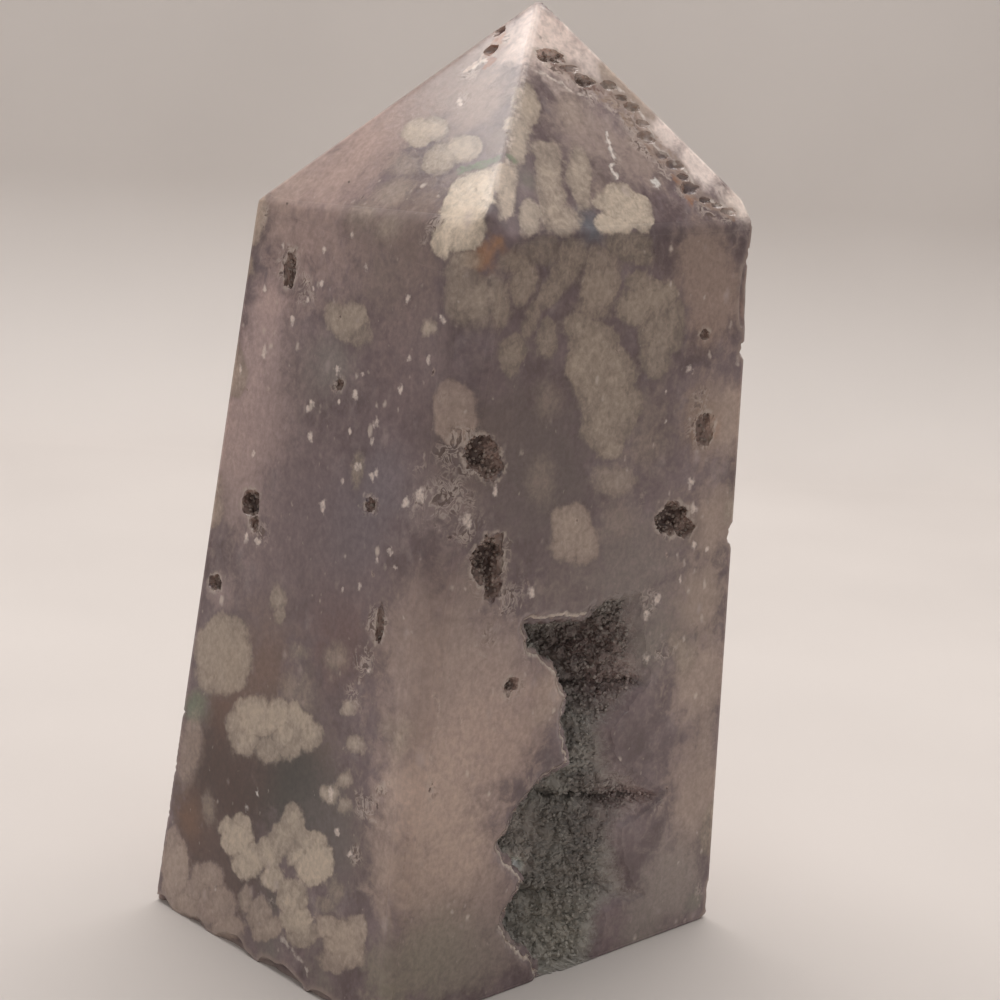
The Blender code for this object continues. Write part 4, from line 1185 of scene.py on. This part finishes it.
# Zones of the hollow: pixel, radius in mm, colour, weight. Bare zones carry no crystals.
lining = {
    "tints": [
        # The darkest tints, of the upper chamber and the grooves, are partly the dark brown of the druse and
        # partly painted shade of the deep hollow.
        (575, 640, 5.0, (50, 40, 38), 0.95), (545, 622, 3.0, (46, 43, 39), 0.9),
        (610, 640, 3.0, (56, 46, 42), 0.9), (640, 615, 2.5, (84, 72, 70), 0.7),
        (622, 672, 2.6, (100, 87, 84), 0.8), (665, 680, 1.8, (88, 88, 82), 0.7),
        (600, 690, 3.5, (56, 45, 43), 0.9), (640, 740, 4.5, (104, 91, 89), 0.9),
        (640, 800, 4.5, (100, 87, 85), 0.9), (650, 860, 4.5, (103, 92, 89), 0.9),
        (640, 930, 5.0, (104, 93, 90), 0.9), (650, 803, 1.1, (84, 66, 58), 0.9),
        (515, 862, 1.2, (140, 130, 124), 0.8), (520, 830, 2.2, (92, 86, 82), 0.8),
        (555, 935, 4.0, (92, 88, 81), 0.8), (540, 745, 3.0, (84, 76, 72), 0.6),
        (600, 800, 3.0, (48, 40, 38), 0.8), (575, 880, 3.0, (68, 63, 59), 0.7),
        (540, 830, 3.0, (64, 60, 56), 0.7), (545, 905, 3.0, (70, 66, 61), 0.6),
    ],
    "lift": 1.75, "deeper": 0.08,    # the tints are as seen in the hollow's shade, more so for each mm in
    "deepest": 6.0, "brightest": 0.8,
    "start": (0.9, 0.8),        # crystals grow this far behind the face and above the base
    "size": 0.8, "swells": [(0.6, 0.25), (0.3, 0.6)], "smallest": 0.62, "barest": 0.05,
    "count": 2600, "spacing": 0.4, "seed": 77,
    "radius": (0.14, 0.34), "length": (0.24, 0.46), "tilt": 0.6, "pale": 0.95,
}
crystal = {"sides": 6, "taper": 0.86, "point": 0.55, "rooted": 0.35, "flatness": (0.75, 1.25)}


def crystalTemplate():  # one six-sided crystal along Z, with a pointed end
    bm = bmesh.new()
    bmesh.ops.create_cone(
        bm, cap_ends=True, segments=crystal["sides"], radius1=1.0, radius2=crystal["taper"], depth=1.0)
    bmesh.ops.translate(bm, vec=(0, 0, 0.5), verts=bm.verts)
    top = max(bm.faces, key=lambda face: face.calc_center_median().z)
    bmesh.ops.poke(bm, faces=[top], offset=crystal["point"])
    return meshFrom(bm, "crystal")


def growCrystals(name, seats, look):  # a crystal on each seat: place, normal, size
    pick = np.random.default_rng(look["seed"])
    item = addObject(name, crystalTemplate())
    repeat = item.modifiers.new("repeat", "ARRAY")
    repeat.count = len(seats)
    repeat.use_relative_offset = False
    mesh = applyModifiers(item)
    shape = meshSpots(mesh)[:len(mesh.vertices) // len(seats)]
    spots, tips, shades = [], [], []
    for place, normal, size in seats:
        lean = Vector(normal) + Vector(pick.normal(0, look["tilt"], 3))
        turn = lean.normalized().to_track_quat("Z", "Y").to_matrix()
        turn = turn @ Matrix.Rotation(pick.uniform(0, math.pi / 3), 3, "Z")
        radius = pick.uniform(*look["radius"]) * size
        length = pick.uniform(*look["length"]) * size
        scaled = shape * [radius, radius * pick.uniform(*crystal["flatness"]), length]
        scaled -= [0, 0, crystal["rooted"] * length]
        spots.append(scaled @ np.array(turn).T + np.array(place))
        tips.append(shape[:, 2] / shape[:, 2].max())
        shades.append(np.full(len(shape), pick.uniform()))
    placeSpots(mesh, np.concatenate(spots))
    keepNumber(mesh, "tip", look["pale"] * np.concatenate(tips))
    keepNumber(mesh, "shade", np.concatenate(shades))
    return item


def scatter(mesh, faces, look, keep):  # random seats on some faces, no two too close
    pick = np.random.default_rng(look["seed"])
    spacing = look["spacing"]
    areas = np.array([face.area for face in faces])
    chosen = pick.choice(len(faces), size=look["count"] * 4, p=areas / areas.sum())
    seats, cells = [], {}
    for index in chosen:
        face = faces[index]
        first, second, third = (mesh.vertices[number].co for number in face.vertices[:3])
        u, v = sorted(pick.uniform(0, 1, 2))
        place = first * u + second * (v - u) + third * (1 - v)
        size = keep(place)
        if size <= 0 or len(seats) == look["count"]:
            continue
        cell = tuple(int(value // spacing) for value in place)  # its neighbours are one less to one more
        around = [cells.get(tuple(np.add(cell, np.subtract(step, 1))), ()) for step in np.ndindex(3, 3, 3)]
        if any((place - other).length < spacing * size for group in around for other in group):
            continue
        cells.setdefault(cell, []).append(place)
        seats.append((place, face.normal.copy(), size))
    return seats


def druseSize(place):
    behind, above = lining["start"]
    if place.y < frontY + behind or place.z < above:
        return 0.0
    bare = bareness(np.array(place)[None])[0]
    swells = (height * noise.noise(place * scale) for height, scale in lining["swells"])
    size = sum(swells, lining["size"])
    return 0.0 if bare > lining["barest"] or size < lining["smallest"] else size


def liningColours(points):
    colours = stainField(points, lining["tints"], [], onCrust)
    lift = lining["lift"] + lining["deeper"] * np.clip(points[:, 1] - frontY, 0.0, lining["deepest"])
    colours[:, :3] = np.clip(colours[:, :3] * lift[:, None], 0.0, lining["brightest"])
    return colours


crustFront = [face for face in crust.data.polygons if face.normal.y < 0.15 and face.center.y > frontY + 0.5]
seats = scatter(crust.data, crustFront, lining, druseSize)
druse = growCrystals("hollow_crystals", seats, lining)
for item in (crust, druse):
    spots = meshSpots(item.data)
    keepColour(item.data, "tint", liningColours(spots))
    keepNumber(item.data, "behind", spots[:, 1] - frontY)
spots = meshSpots(crust.data)
inside = insideMouth(spots[:, 0] + hollow["undercut"] * (spots[:, 1] - frontY), spots[:, 2])
inner = (inside + hollow["rim"]) / 1.1 - 2.2 * np.clip(bareness(spots), 0.0, 1.0)
keepNumber(crust.data, "inner", np.clip(inner, -1.0, 3.0))
keepNumber(crust.data, "tip", np.zeros(len(spots)))
keepNumber(crust.data, "shade", np.full(len(spots), 0.5))
keepColouring(crust.data, spots)
keepNumber(druse.data, "inner", np.full(len(druse.data.vertices), 3.0))
print("druse crystals", len(seats))

# The crystals of the small pits sit well below the polish.
pitLining = {
    "count": 700, "spacing": 0.42, "below": 0.5, "seed": 91,
    "radius": (0.13, 0.26), "length": (0.16, 0.32), "tilt": 0.5, "pale": 0.65,
    "tint": (150, 128, 118), "tinted": 0.8,
}


def pitCrystalSize(place):
    depth = -planeHeights(np.array(place)[None]).max()
    return 1.0 if depth > pitLining["below"] else 0.0


pitFaces = [face for face in stone.data.polygons if face.material_index == pitKind]
seats = scatter(stone.data, pitFaces, pitLining, pitCrystalSize)
pitDruse = growCrystals("pit_crystals", seats, pitLining)
spots = meshSpots(pitDruse.data)
tint = (*linear(*pitLining["tint"]), pitLining["tinted"])
keepColour(pitDruse.data, "tint", np.tile(tint, (len(spots), 1)))
keepNumber(pitDruse.data, "inner", np.full(len(spots), 3.0))
keepNumber(pitDruse.data, "behind", -planeHeights(spots).max(axis=1))
print("pit crystals", len(seats))


# The colours of all materials, on the 0 to 255 scale of a picture.
tones = {
    "matrix": (132, 114, 115), "matrixDark": (104, 87, 88), "matrixWarm": (148, 130, 127),
    "milky": (168, 153, 153), "cream": (178, 161, 143), "creamDeep": (132, 118, 107),
    "creamPale": (228, 210, 190), "blush": (182, 156, 146), "halo": (100, 86, 82),
    "crease": (116, 100, 90), "rim": (192, 176, 164), "lip": (224, 208, 194), "speck": (216, 200, 188),
    # the deep pit colour is painted shade, laid on darker the deeper a pit goes
    "drop": (190, 172, 166), "chip": (168, 150, 140), "pit": (152, 128, 118), "pitShadedDeep": (88, 70, 64),
    "crustBrown": (102, 84, 77), "crustLine": (202, 186, 175),
    "druse": (150, 146, 139), "druseDark": (120, 114, 109), "ridge": (194, 188, 178), "tip": (188, 182, 174),
    "paper": (214, 207, 202), "paperWorn": (209, 202, 197), "paperPaintedLight": (242, 235, 230),
    # The paper's colour for higher up is painted light, and its colour nearer the camera is painted shade.
    "paperPaintedShade": (198, 191, 186),
}


def feed(tree, made, inputs):  # sockets are linked, values and colours by name are set
    for name, value in inputs.items():
        if isinstance(value, bpy.types.NodeSocket):
            tree.links.new(value, made.inputs[name])
        elif isinstance(value, str):
            made.inputs[name].default_value = (*linear(*tones[value]), 1.0)
        else:
            made.inputs[name].default_value = value


def add(tree, kind, inputs=None, **settings):
    made = tree.nodes.new(kind)
    for name, value in settings.items():
        setattr(made, name, value)
    feed(tree, made, inputs or {})
    return made


def paint(tree, factor, under, over, kind="MIX"):  # the colours are sockets or names of tones
    inputs = {0: factor, 6: under, 7: over}
    return add(tree, "ShaderNodeMix", inputs, data_type="RGBA", blend_type=kind).outputs[2]


def dim(tree, colour, amount):  # a colour times a grey value
    grey = add(tree, "ShaderNodeCombineColor", {0: amount, 1: amount, 2: amount}).outputs[0]
    return paint(tree, 1.0, colour, grey, "MULTIPLY")


def maths(tree, operation, *values):
    return add(tree, "ShaderNodeMath", dict(enumerate(values)), operation=operation).outputs[0]


def times(tree, first, second):
    return maths(tree, "MULTIPLY", first, second)


def fromMiddle(tree, value):  # how far a pattern is from its middle value
    return maths(tree, "ABSOLUTE", maths(tree, "SUBTRACT", value, 0.5))


def jitter(tree, value, amount, base):  # the base moved up and down by a pattern that runs from 0 to 1
    return maths(tree, "MULTIPLY_ADD", maths(tree, "SUBTRACT", value, 0.5), amount, base)


def fade(tree, value, low, high, bottom=0.0, top=1.0):  # smooth step between two values
    inputs = {"Value": value, "From Min": low, "From Max": high, "To Min": bottom, "To Max": top}
    return add(tree, "ShaderNodeMapRange", inputs, interpolation_type="SMOOTHSTEP").outputs[0]


def stoneCoords(tree, stretch=1.0):  # object coordinates in millimetres
    place = add(tree, "ShaderNodeTexCoord").outputs["Object"]
    scale = (1000.0, 1000.0, 1000.0 * stretch)
    return add(tree, "ShaderNodeMapping", {"Vector": place, "Scale": scale}).outputs[0]


def grain(tree, coords, scale, detail=3.0, roughness=0.55, distortion=0.0):
    inputs = {"Vector": coords, "Scale": scale, "Detail": detail, "Roughness": roughness}
    inputs["Distortion"] = distortion
    return add(tree, "ShaderNodeTexNoise", inputs).outputs[0]


def grainColour(tree, coords, scale):  # three patterns at once, to bend other patterns with
    return add(tree, "ShaderNodeTexNoise", {"Vector": coords, "Scale": scale, "Detail": 2.0}).outputs[1]


def cells(tree, coords, scale, feature="F1"):
    return add(tree, "ShaderNodeTexVoronoi", {"Vector": coords, "Scale": scale}, feature=feature)


def attribute(tree, name, output="Fac"):
    return add(tree, "ShaderNodeAttribute", attribute_name=name).outputs[output]


def newMaterial(name):
    material = bpy.data.materials.new(name)
    material.use_nodes = True
    tree = material.node_tree
    tree.nodes.clear()
    shader = add(tree, "ShaderNodeBsdfPrincipled")
    add(tree, "ShaderNodeOutputMaterial", {"Surface": shader.outputs[0]})
    return material, tree, shader


def finish(tree, shader, colour, rough, strength, depth, height):  # the last three are those of the bump
    bump = add(tree, "ShaderNodeBump", {"Strength": strength, "Distance": depth * metre, "Height": height})
    feed(tree, shader, {"Base Color": colour, "Roughness": rough, "Normal": bump.outputs[0]})


# What all the chalcedony and quartz share.
quartz = {"ior": 1.54, "lightReach": (0.9, 0.75, 0.7), "lightDepth": 2.0}


def letLightIn(tree, shader, amount):
    feed(tree, shader, {
        "IOR": quartz["ior"], "Subsurface Weight": amount, "Subsurface Radius": quartz["lightReach"],
        "Subsurface Scale": quartz["lightDepth"] * metre})


agate = {
    "roughness": 0.16, "pitRoughness": 0.5, "edgeRoughness": 0.3, "subsurface": 0.22,
    "bump": (0.12, 0.1),        # strength, and depth in mm
    "tall": 0.7, "petalTall": 0.8,      # the less, the longer milk and specks, or petals, are upwards
    "specks": 0.62, "drops": 0.36,      # how many to the mm
    # Patterns: how many to the mm, detail, roughness, distortion.
    "clouds": (0.13, 5.0, 0.6, 0.3), "mottle": (0.5, 5.0, 0.65, 0.4), "milk": (0.34, 4.0, 0.6),
    "petals": (1.1, 5.0, 0.7, 0.5), "worms": (0.85, 2.5, 0.6, 1.2), "fine": (1.9, 4.0, 0.6),
}


def stoneColour(tree, coords, fine):
    clouds = grain(tree, coords, *agate["clouds"])
    mottle = grain(tree, coords, *agate["mottle"])
    colour = paint(tree, fade(tree, clouds, 0.36, 0.64), "matrixDark", "matrix")
    colour = paint(tree, fade(tree, mottle, 0.46, 0.72, 0.0, 0.55), colour, "matrixWarm")
    milk = grain(tree, stoneCoords(tree, agate["tall"]), *agate["milk"])
    colour = paint(tree, fade(tree, milk, 0.52, 0.74, 0.0, 0.38), colour, "milky")
    weight = attribute(tree, "stain", "Alpha")
    stained = fade(tree, jitter(tree, mottle, 1.3, weight), 0.1, 0.9)
    stained = times(tree, stained, fade(tree, weight, 0.0, 0.12))
    colour = paint(tree, stained, colour, attribute(tree, "stain", "Color"))

    # Flowers: clouds of round lobes, paler and more solid inwards, with a ruffled, soft edge, faint dark
    # creases where two lobes meet and a soft dark halo in the stone round them.
    edge = attribute(tree, "flowerEdge")
    ruffle = cells(tree, coords, 1.0, "SMOOTH_F1").outputs["Distance"]
    edge = maths(tree, "MULTIPLY_ADD", maths(tree, "SUBTRACT", 0.42, ruffle), 0.45, edge)
    edge = jitter(tree, fine, 0.6, maths(tree, "ADD", edge, 0.22))
    strength = attribute(tree, "flowerStrength")
    soft = maths(tree, "DIVIDE", edge, attribute(tree, "flowerSoft"))
    soft = maths(tree, "DIVIDE", soft, fade(tree, mottle, 0.35, 0.65, 0.7, 1.8))
    inside = times(tree, fade(tree, soft, -0.8, 1.1), strength)
    halo = times(tree, fade(tree, soft, -2.6, 0.0), times(tree, strength, 0.28))
    colour = paint(tree, halo, colour, "halo")
    petals = grain(tree, stoneCoords(tree, agate["petalTall"]), *agate["petals"])
    shade = maths(tree, "MULTIPLY_ADD", attribute(tree, "flowerShade"), 0.22, times(tree, petals, 0.55))
    shade = maths(tree, "MULTIPLY_ADD", mottle, 0.28, shade)
    shade = maths(tree, "MULTIPLY_ADD", fade(tree, edge, 0.0, 1.6), 0.2, shade)
    cream = paint(tree, fade(tree, shade, 0.38, 0.86), "creamDeep", "cream")
    pale = times(tree, attribute(tree, "flowerPale"), fade(tree, shade, 0.2, 0.8, 0.4, 1.0))
    cream = paint(tree, pale, cream, "creamPale")
    cream = paint(tree, times(tree, attribute(tree, "flowerPink"), 0.75), cream, "blush")
    broken = fade(tree, mottle, 0.42, 0.62)
    crease = jitter(tree, fine, 0.5, attribute(tree, "flowerCrease"))
    crease = times(tree, fade(tree, crease, 0.4, 0.0, 0.0, 0.4), broken)
    cream = paint(tree, crease, cream, "crease")
    colour = paint(tree, inside, colour, cream)
    worn = times(tree, fade(tree, fine, 0.3, 0.7, 0.91, 1.09), fade(tree, petals, 0.3, 0.7, 0.9, 1.1))
    colour = dim(tree, colour, worn)

    # Druse that the polish has cut through: pale wormy lines with brown hollows between them.
    crusty = fade(tree, jitter(tree, mottle, 1.6, attribute(tree, "crusty")), 0.25, 0.8)
    crusty = times(tree, crusty, fade(tree, attribute(tree, "crusty"), 0.03, 0.2))
    worm = grain(tree, coords, *agate["worms"])
    brown = fade(tree, jitter(tree, fine, 0.6, worm), 0.53, 0.64, 0.0, 0.85)
    colour = paint(tree, times(tree, crusty, brown), colour, "crustBrown")
    lines = times(tree, fade(tree, fromMiddle(tree, worm), 0.08, 0.01), times(tree, crusty, 0.6))
    colour = paint(tree, lines, colour, "crustLine")
    mark = attribute(tree, "mark", "Alpha")
    marked = fade(tree, jitter(tree, fine, 1.6, mark), 0.15, 0.9, 0.0, 0.85)
    marked = times(tree, marked, fade(tree, mark, 0.02, 0.25))
    return paint(tree, marked, colour, attribute(tree, "mark", "Color"))


def dotted(tree, dots, channel, low, patches):  # how far inside the dots of a cell pattern a point lies
    pick = add(tree, "ShaderNodeSeparateColor", {"Color": dots.outputs["Color"]}).outputs[channel]
    size = times(tree, fade(tree, pick, low, 1.0, 0.0, 0.28), patches)
    return maths(tree, "SUBTRACT", size, dots.outputs["Distance"])


def agateMaterial():
    material, tree, shader = newMaterial("polished_agate")
    coords = stoneCoords(tree)
    fine = grain(tree, coords, *agate["fine"])
    colour = stoneColour(tree, coords, fine)

    # Small white specks with ragged outlines, in patches.
    bend = {0: grainColour(tree, coords, 1.1), 1: (0.7, 0.7, 0.7), 2: stoneCoords(tree, agate["tall"])}
    bend = add(tree, "ShaderNodeVectorMath", bend, operation="MULTIPLY_ADD").outputs[0]
    patches = fade(tree, grain(tree, coords, 0.12), 0.5, 0.66, 0.0, 0.8)
    patches = maths(tree, "MAXIMUM", patches, attribute(tree, "speckled"))
    specks = dotted(tree, cells(tree, bend, agate["specks"]), 1, 0.3, patches)
    colour = paint(tree, fade(tree, specks, -0.12, 0.12, 0.0, 0.75), colour, "speck")
    drops = dotted(tree, cells(tree, bend, agate["drops"]), 0, 0.4, patches)
    colour = paint(tree, fade(tree, drops, -0.16, 0.14, 0.0, 0.55), colour, "drop")

    # A pale, broken, translucent border where the polish meets a hollow, and bruises along chips.
    rimNear = jitter(tree, fine, 1.1, attribute(tree, "rimNear"))
    broken = fade(tree, grain(tree, coords, 0.9, 2.0), 0.42, 0.62)
    border = times(tree, fade(tree, rimNear, 0.55, 0.05, 0.0, 0.7), broken)
    colour = paint(tree, border, colour, "rim")
    lip = fade(tree, jitter(tree, fine, 0.7, attribute(tree, "lipNear")), 0.42, 0.1, 0.0, 0.75)
    lip = times(tree, lip, fade(tree, fine, 0.3, 0.5, 0.4, 1.0))
    colour = paint(tree, lip, colour, "lip")
    colour = paint(tree, fade(tree, attribute(tree, "chipNear"), 0.8, 0.0, 0.0, 0.6), colour, "chip")

    # Inside a pit the stone turns brown, its own colour, and darker with depth, which is painted shade.
    sunk = attribute(tree, "sunk")
    grainy = jitter(tree, fine, 0.8, sunk)
    pit = paint(tree, fade(tree, grainy, 0.4, 1.4), "pit", "pitShadedDeep")
    pitted = times(tree, fade(tree, grainy, 0.1, 0.5), fade(tree, attribute(tree, "rimNear"), 3.0, 2.4))
    farFromChip = fade(tree, attribute(tree, "chipNear"), 0.3, 1.0)
    colour = paint(tree, times(tree, pitted, farFromChip), colour, pit)

    rough = maths(tree, "MULTIPLY_ADD", fine, 0.1, sunk)
    rough = fade(tree, rough, 0.06, 0.2, agate["roughness"], agate["pitRoughness"])
    onEdge = fade(tree, attribute(tree, "edgeNear"), 0.6, 0.1)
    rough = maths(tree, "MULTIPLY_ADD", onEdge, agate["edgeRoughness"], rough)
    letLightIn(tree, shader, agate["subsurface"])
    finish(tree, shader, colour, rough, *agate["bump"], fine)
    return material


druseLook = {
    "patches": (0.3, 3.0), "worms": (1.15, 1.5, 0.5, 0.6),      # patterns, as in agate
    "subsurface": 0.15, "bump": (0.6, 0.22),        # strength, and depth in mm
}


def druseMaterial():
    material, tree, shader = newMaterial("quartz_druse")
    coords = stoneCoords(tree)
    fine = grain(tree, coords, *agate["fine"])
    patches = grain(tree, coords, *druseLook["patches"])
    colour = paint(tree, fade(tree, patches, 0.35, 0.68), "druseDark", "druse")
    # the tint holds the hollow's zone colours, the darkest of them partly painted shade
    colour = paint(tree, attribute(tree, "tint", "Alpha"), colour, attribute(tree, "tint", "Color"))
    colour = dim(tree, colour, maths(tree, "MULTIPLY_ADD", attribute(tree, "shade"), 0.5, 0.75))

    # Wormy ridges follow the middle values of a noise, paler than the stone between them.
    fromRidge = fromMiddle(tree, grain(tree, coords, *druseLook["worms"]))
    colour = paint(tree, times(tree, fade(tree, fromRidge, 0.05, 0.0), 0.3), colour, "ridge")
    pale = times(tree, attribute(tree, "shade"), 0.6)
    pale = times(tree, fade(tree, attribute(tree, "tip"), 0.5, 1.0), pale)
    colour = paint(tree, pale, colour, "tip")
    inner = fade(tree, jitter(tree, fine, 1.4, attribute(tree, "inner")), 0.2, 1.5)
    colour = paint(tree, inner, stoneColour(tree, coords, fine), colour)
    rough = fade(tree, fine, 0.3, 0.75, 0.3, 0.5)
    rough = add(tree, "ShaderNodeMix", {0: inner, 2: agate["roughness"], 3: rough}).outputs[0]
    height = times(tree, fine, 0.5)
    height = maths(tree, "MULTIPLY_ADD", fade(tree, fromRidge, 0.2, 0.0), 0.8, height)
    letLightIn(tree, shader, druseLook["subsurface"])
    finish(tree, shader, colour, rough, *druseLook["bump"], times(tree, height, inner))
    return material


stage = {
    "width": 2400.0, "front": -900.0, "behind": 250.0, "bend": 60.0, "top": 900.0, "bendSteps": 24,
    # The paper is painted darker towards the camera and paler going up: painted shade and painted light.
    "toCamera": (-0.69, -0.73, 0.0), "paintedShadeSpan": (-40.0, 90.0), "paintedLightRise": (60.0, 420.0),
    "fibres": (0.6, 4.0, 0.6), "clouds": (0.012, 2.0), "roughness": 0.7, "bump": (0.05, 0.1),
}


def stageMaterial():
    material, tree, shader = newMaterial("paper_sweep")
    coords = stoneCoords(tree)
    colour = paint(tree, fade(tree, grain(tree, coords, *stage["clouds"]), 0.3, 0.7), "paperWorn", "paper")
    # Painted light: the paper turns paler going up the backdrop.
    height = add(tree, "ShaderNodeSeparateXYZ", {0: coords}).outputs[2]
    colour = paint(tree, fade(tree, height, *stage["paintedLightRise"]), colour, "paperPaintedLight")
    # Painted shade: the floor turns darker towards the camera.
    toFront = add(tree, "ShaderNodeVectorMath", {0: coords, 1: stage["toCamera"]}, operation="DOT_PRODUCT")
    colour = paint(tree, fade(tree, toFront.outputs["Value"], *stage["paintedShadeSpan"]), colour, "paperPaintedShade")
    fibres = grain(tree, coords, *stage["fibres"])
    finish(tree, shader, colour, stage["roughness"], *stage["bump"], fibres)
    return material


def wear(item, material, smooth):
    item.data.materials.clear()
    item.data.materials.append(material)
    item.data.polygons.foreach_set("material_index", np.zeros(len(item.data.polygons), np.int32))
    if smooth is not None:
        item.data.polygons.foreach_set("use_smooth", np.ones(len(item.data.polygons), bool))
        item.data.set_sharp_from_angle(angle=math.radians(smooth))
    item.data.transform(toFrame)
    item.data.update()


def makeStage():
    bm = bmesh.new()
    half = stage["width"] / 2
    verts = [bm.verts.new((side * half, stage["front"], 0.0)) for side in (-1, 1)]
    edge = bm.edges.new(verts)

    def pull(edges, shift):  # draws the sheet on from its last edge
        made = bmesh.ops.extrude_edge_only(bm, edges=edges)["geom"]
        verts = only(BMVert, made)
        bmesh.ops.translate(bm, vec=shift, verts=verts)
        return [item for item in only(BMEdge, made) if set(item.verts) == set(verts)]

    last = pull([edge], (0, stage["behind"] - stage["front"], 0))
    turned = bmesh.ops.spin(
        bm, geom=last, cent=(0, stage["behind"], stage["bend"]), axis=(1, 0, 0), angle=math.pi / 2,
        steps=stage["bendSteps"], use_duplicate=False)["geom_last"]
    pull(only(BMEdge, turned), (0, 0, stage["top"]))
    bmesh.ops.recalc_face_normals(bm, faces=bm.faces)
    turn = Matrix.Rotation(math.radians(lensView["azimuth"]), 4, "Z")
    bmesh.ops.transform(bm, matrix=turn, verts=bm.verts)
    for face in bm.faces:
        face.smooth = True
    return addObject("paper_sweep", meshFrom(bm, "paper_sweep"))


lights = {
    "world": (0.80, 0.79, 0.78), "worldStrength": 0.5,
    "panels": [  # name, place in mm around the tower, size, power in W, colour
        ("ceiling", (160.0, 180.0, 530.0), 760.0, 5.3, (1.0, 0.97, 0.95)),
        ("left", (-420.0, 60.0, 260.0), 260.0, 0.06, (1.0, 0.97, 0.95)),
    ],
    "aim": (0, 0, 40),
}


def makeLights():
    world = bpy.data.worlds.new("room")
    world.use_nodes = True
    sky = world.node_tree.nodes["Background"]
    sky.inputs["Color"].default_value = (*lights["world"], 1.0)
    sky.inputs["Strength"].default_value = lights["worldStrength"]
    scene.world = world
    for name, place, size, power, colour in lights["panels"]:
        lamp = bpy.data.lights.new(name, "AREA")
        lamp.shape = "DISK"
        lamp.size = size * metre
        lamp.energy = power
        lamp.color = colour
        item = bpy.data.objects.new(name, lamp)
        scene.collection.objects.link(item)
        turn = (Vector(lights["aim"]) - Vector(place)).to_track_quat("-Z", "Y").to_matrix().to_4x4()
        item.matrix_world = Matrix.Translation(toFrame @ Vector(place)) @ turn


druseShine = druseMaterial()
for item, material, smooth in (
        (stone, agateMaterial(), 34), (crust, druseShine, 55), (druse, druseShine, None),
        (pitDruse, druseShine, None)):
    wear(item, material, smooth)
sweep = makeStage()
wear(sweep, stageMaterial(), None)
makeLights()
print("materials and lights set")

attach(stone, "root")
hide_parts("agate_tower")
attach(crust, "root")
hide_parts("main_hollow_druse")
for item in (druse, pitDruse):
    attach(item, "root")
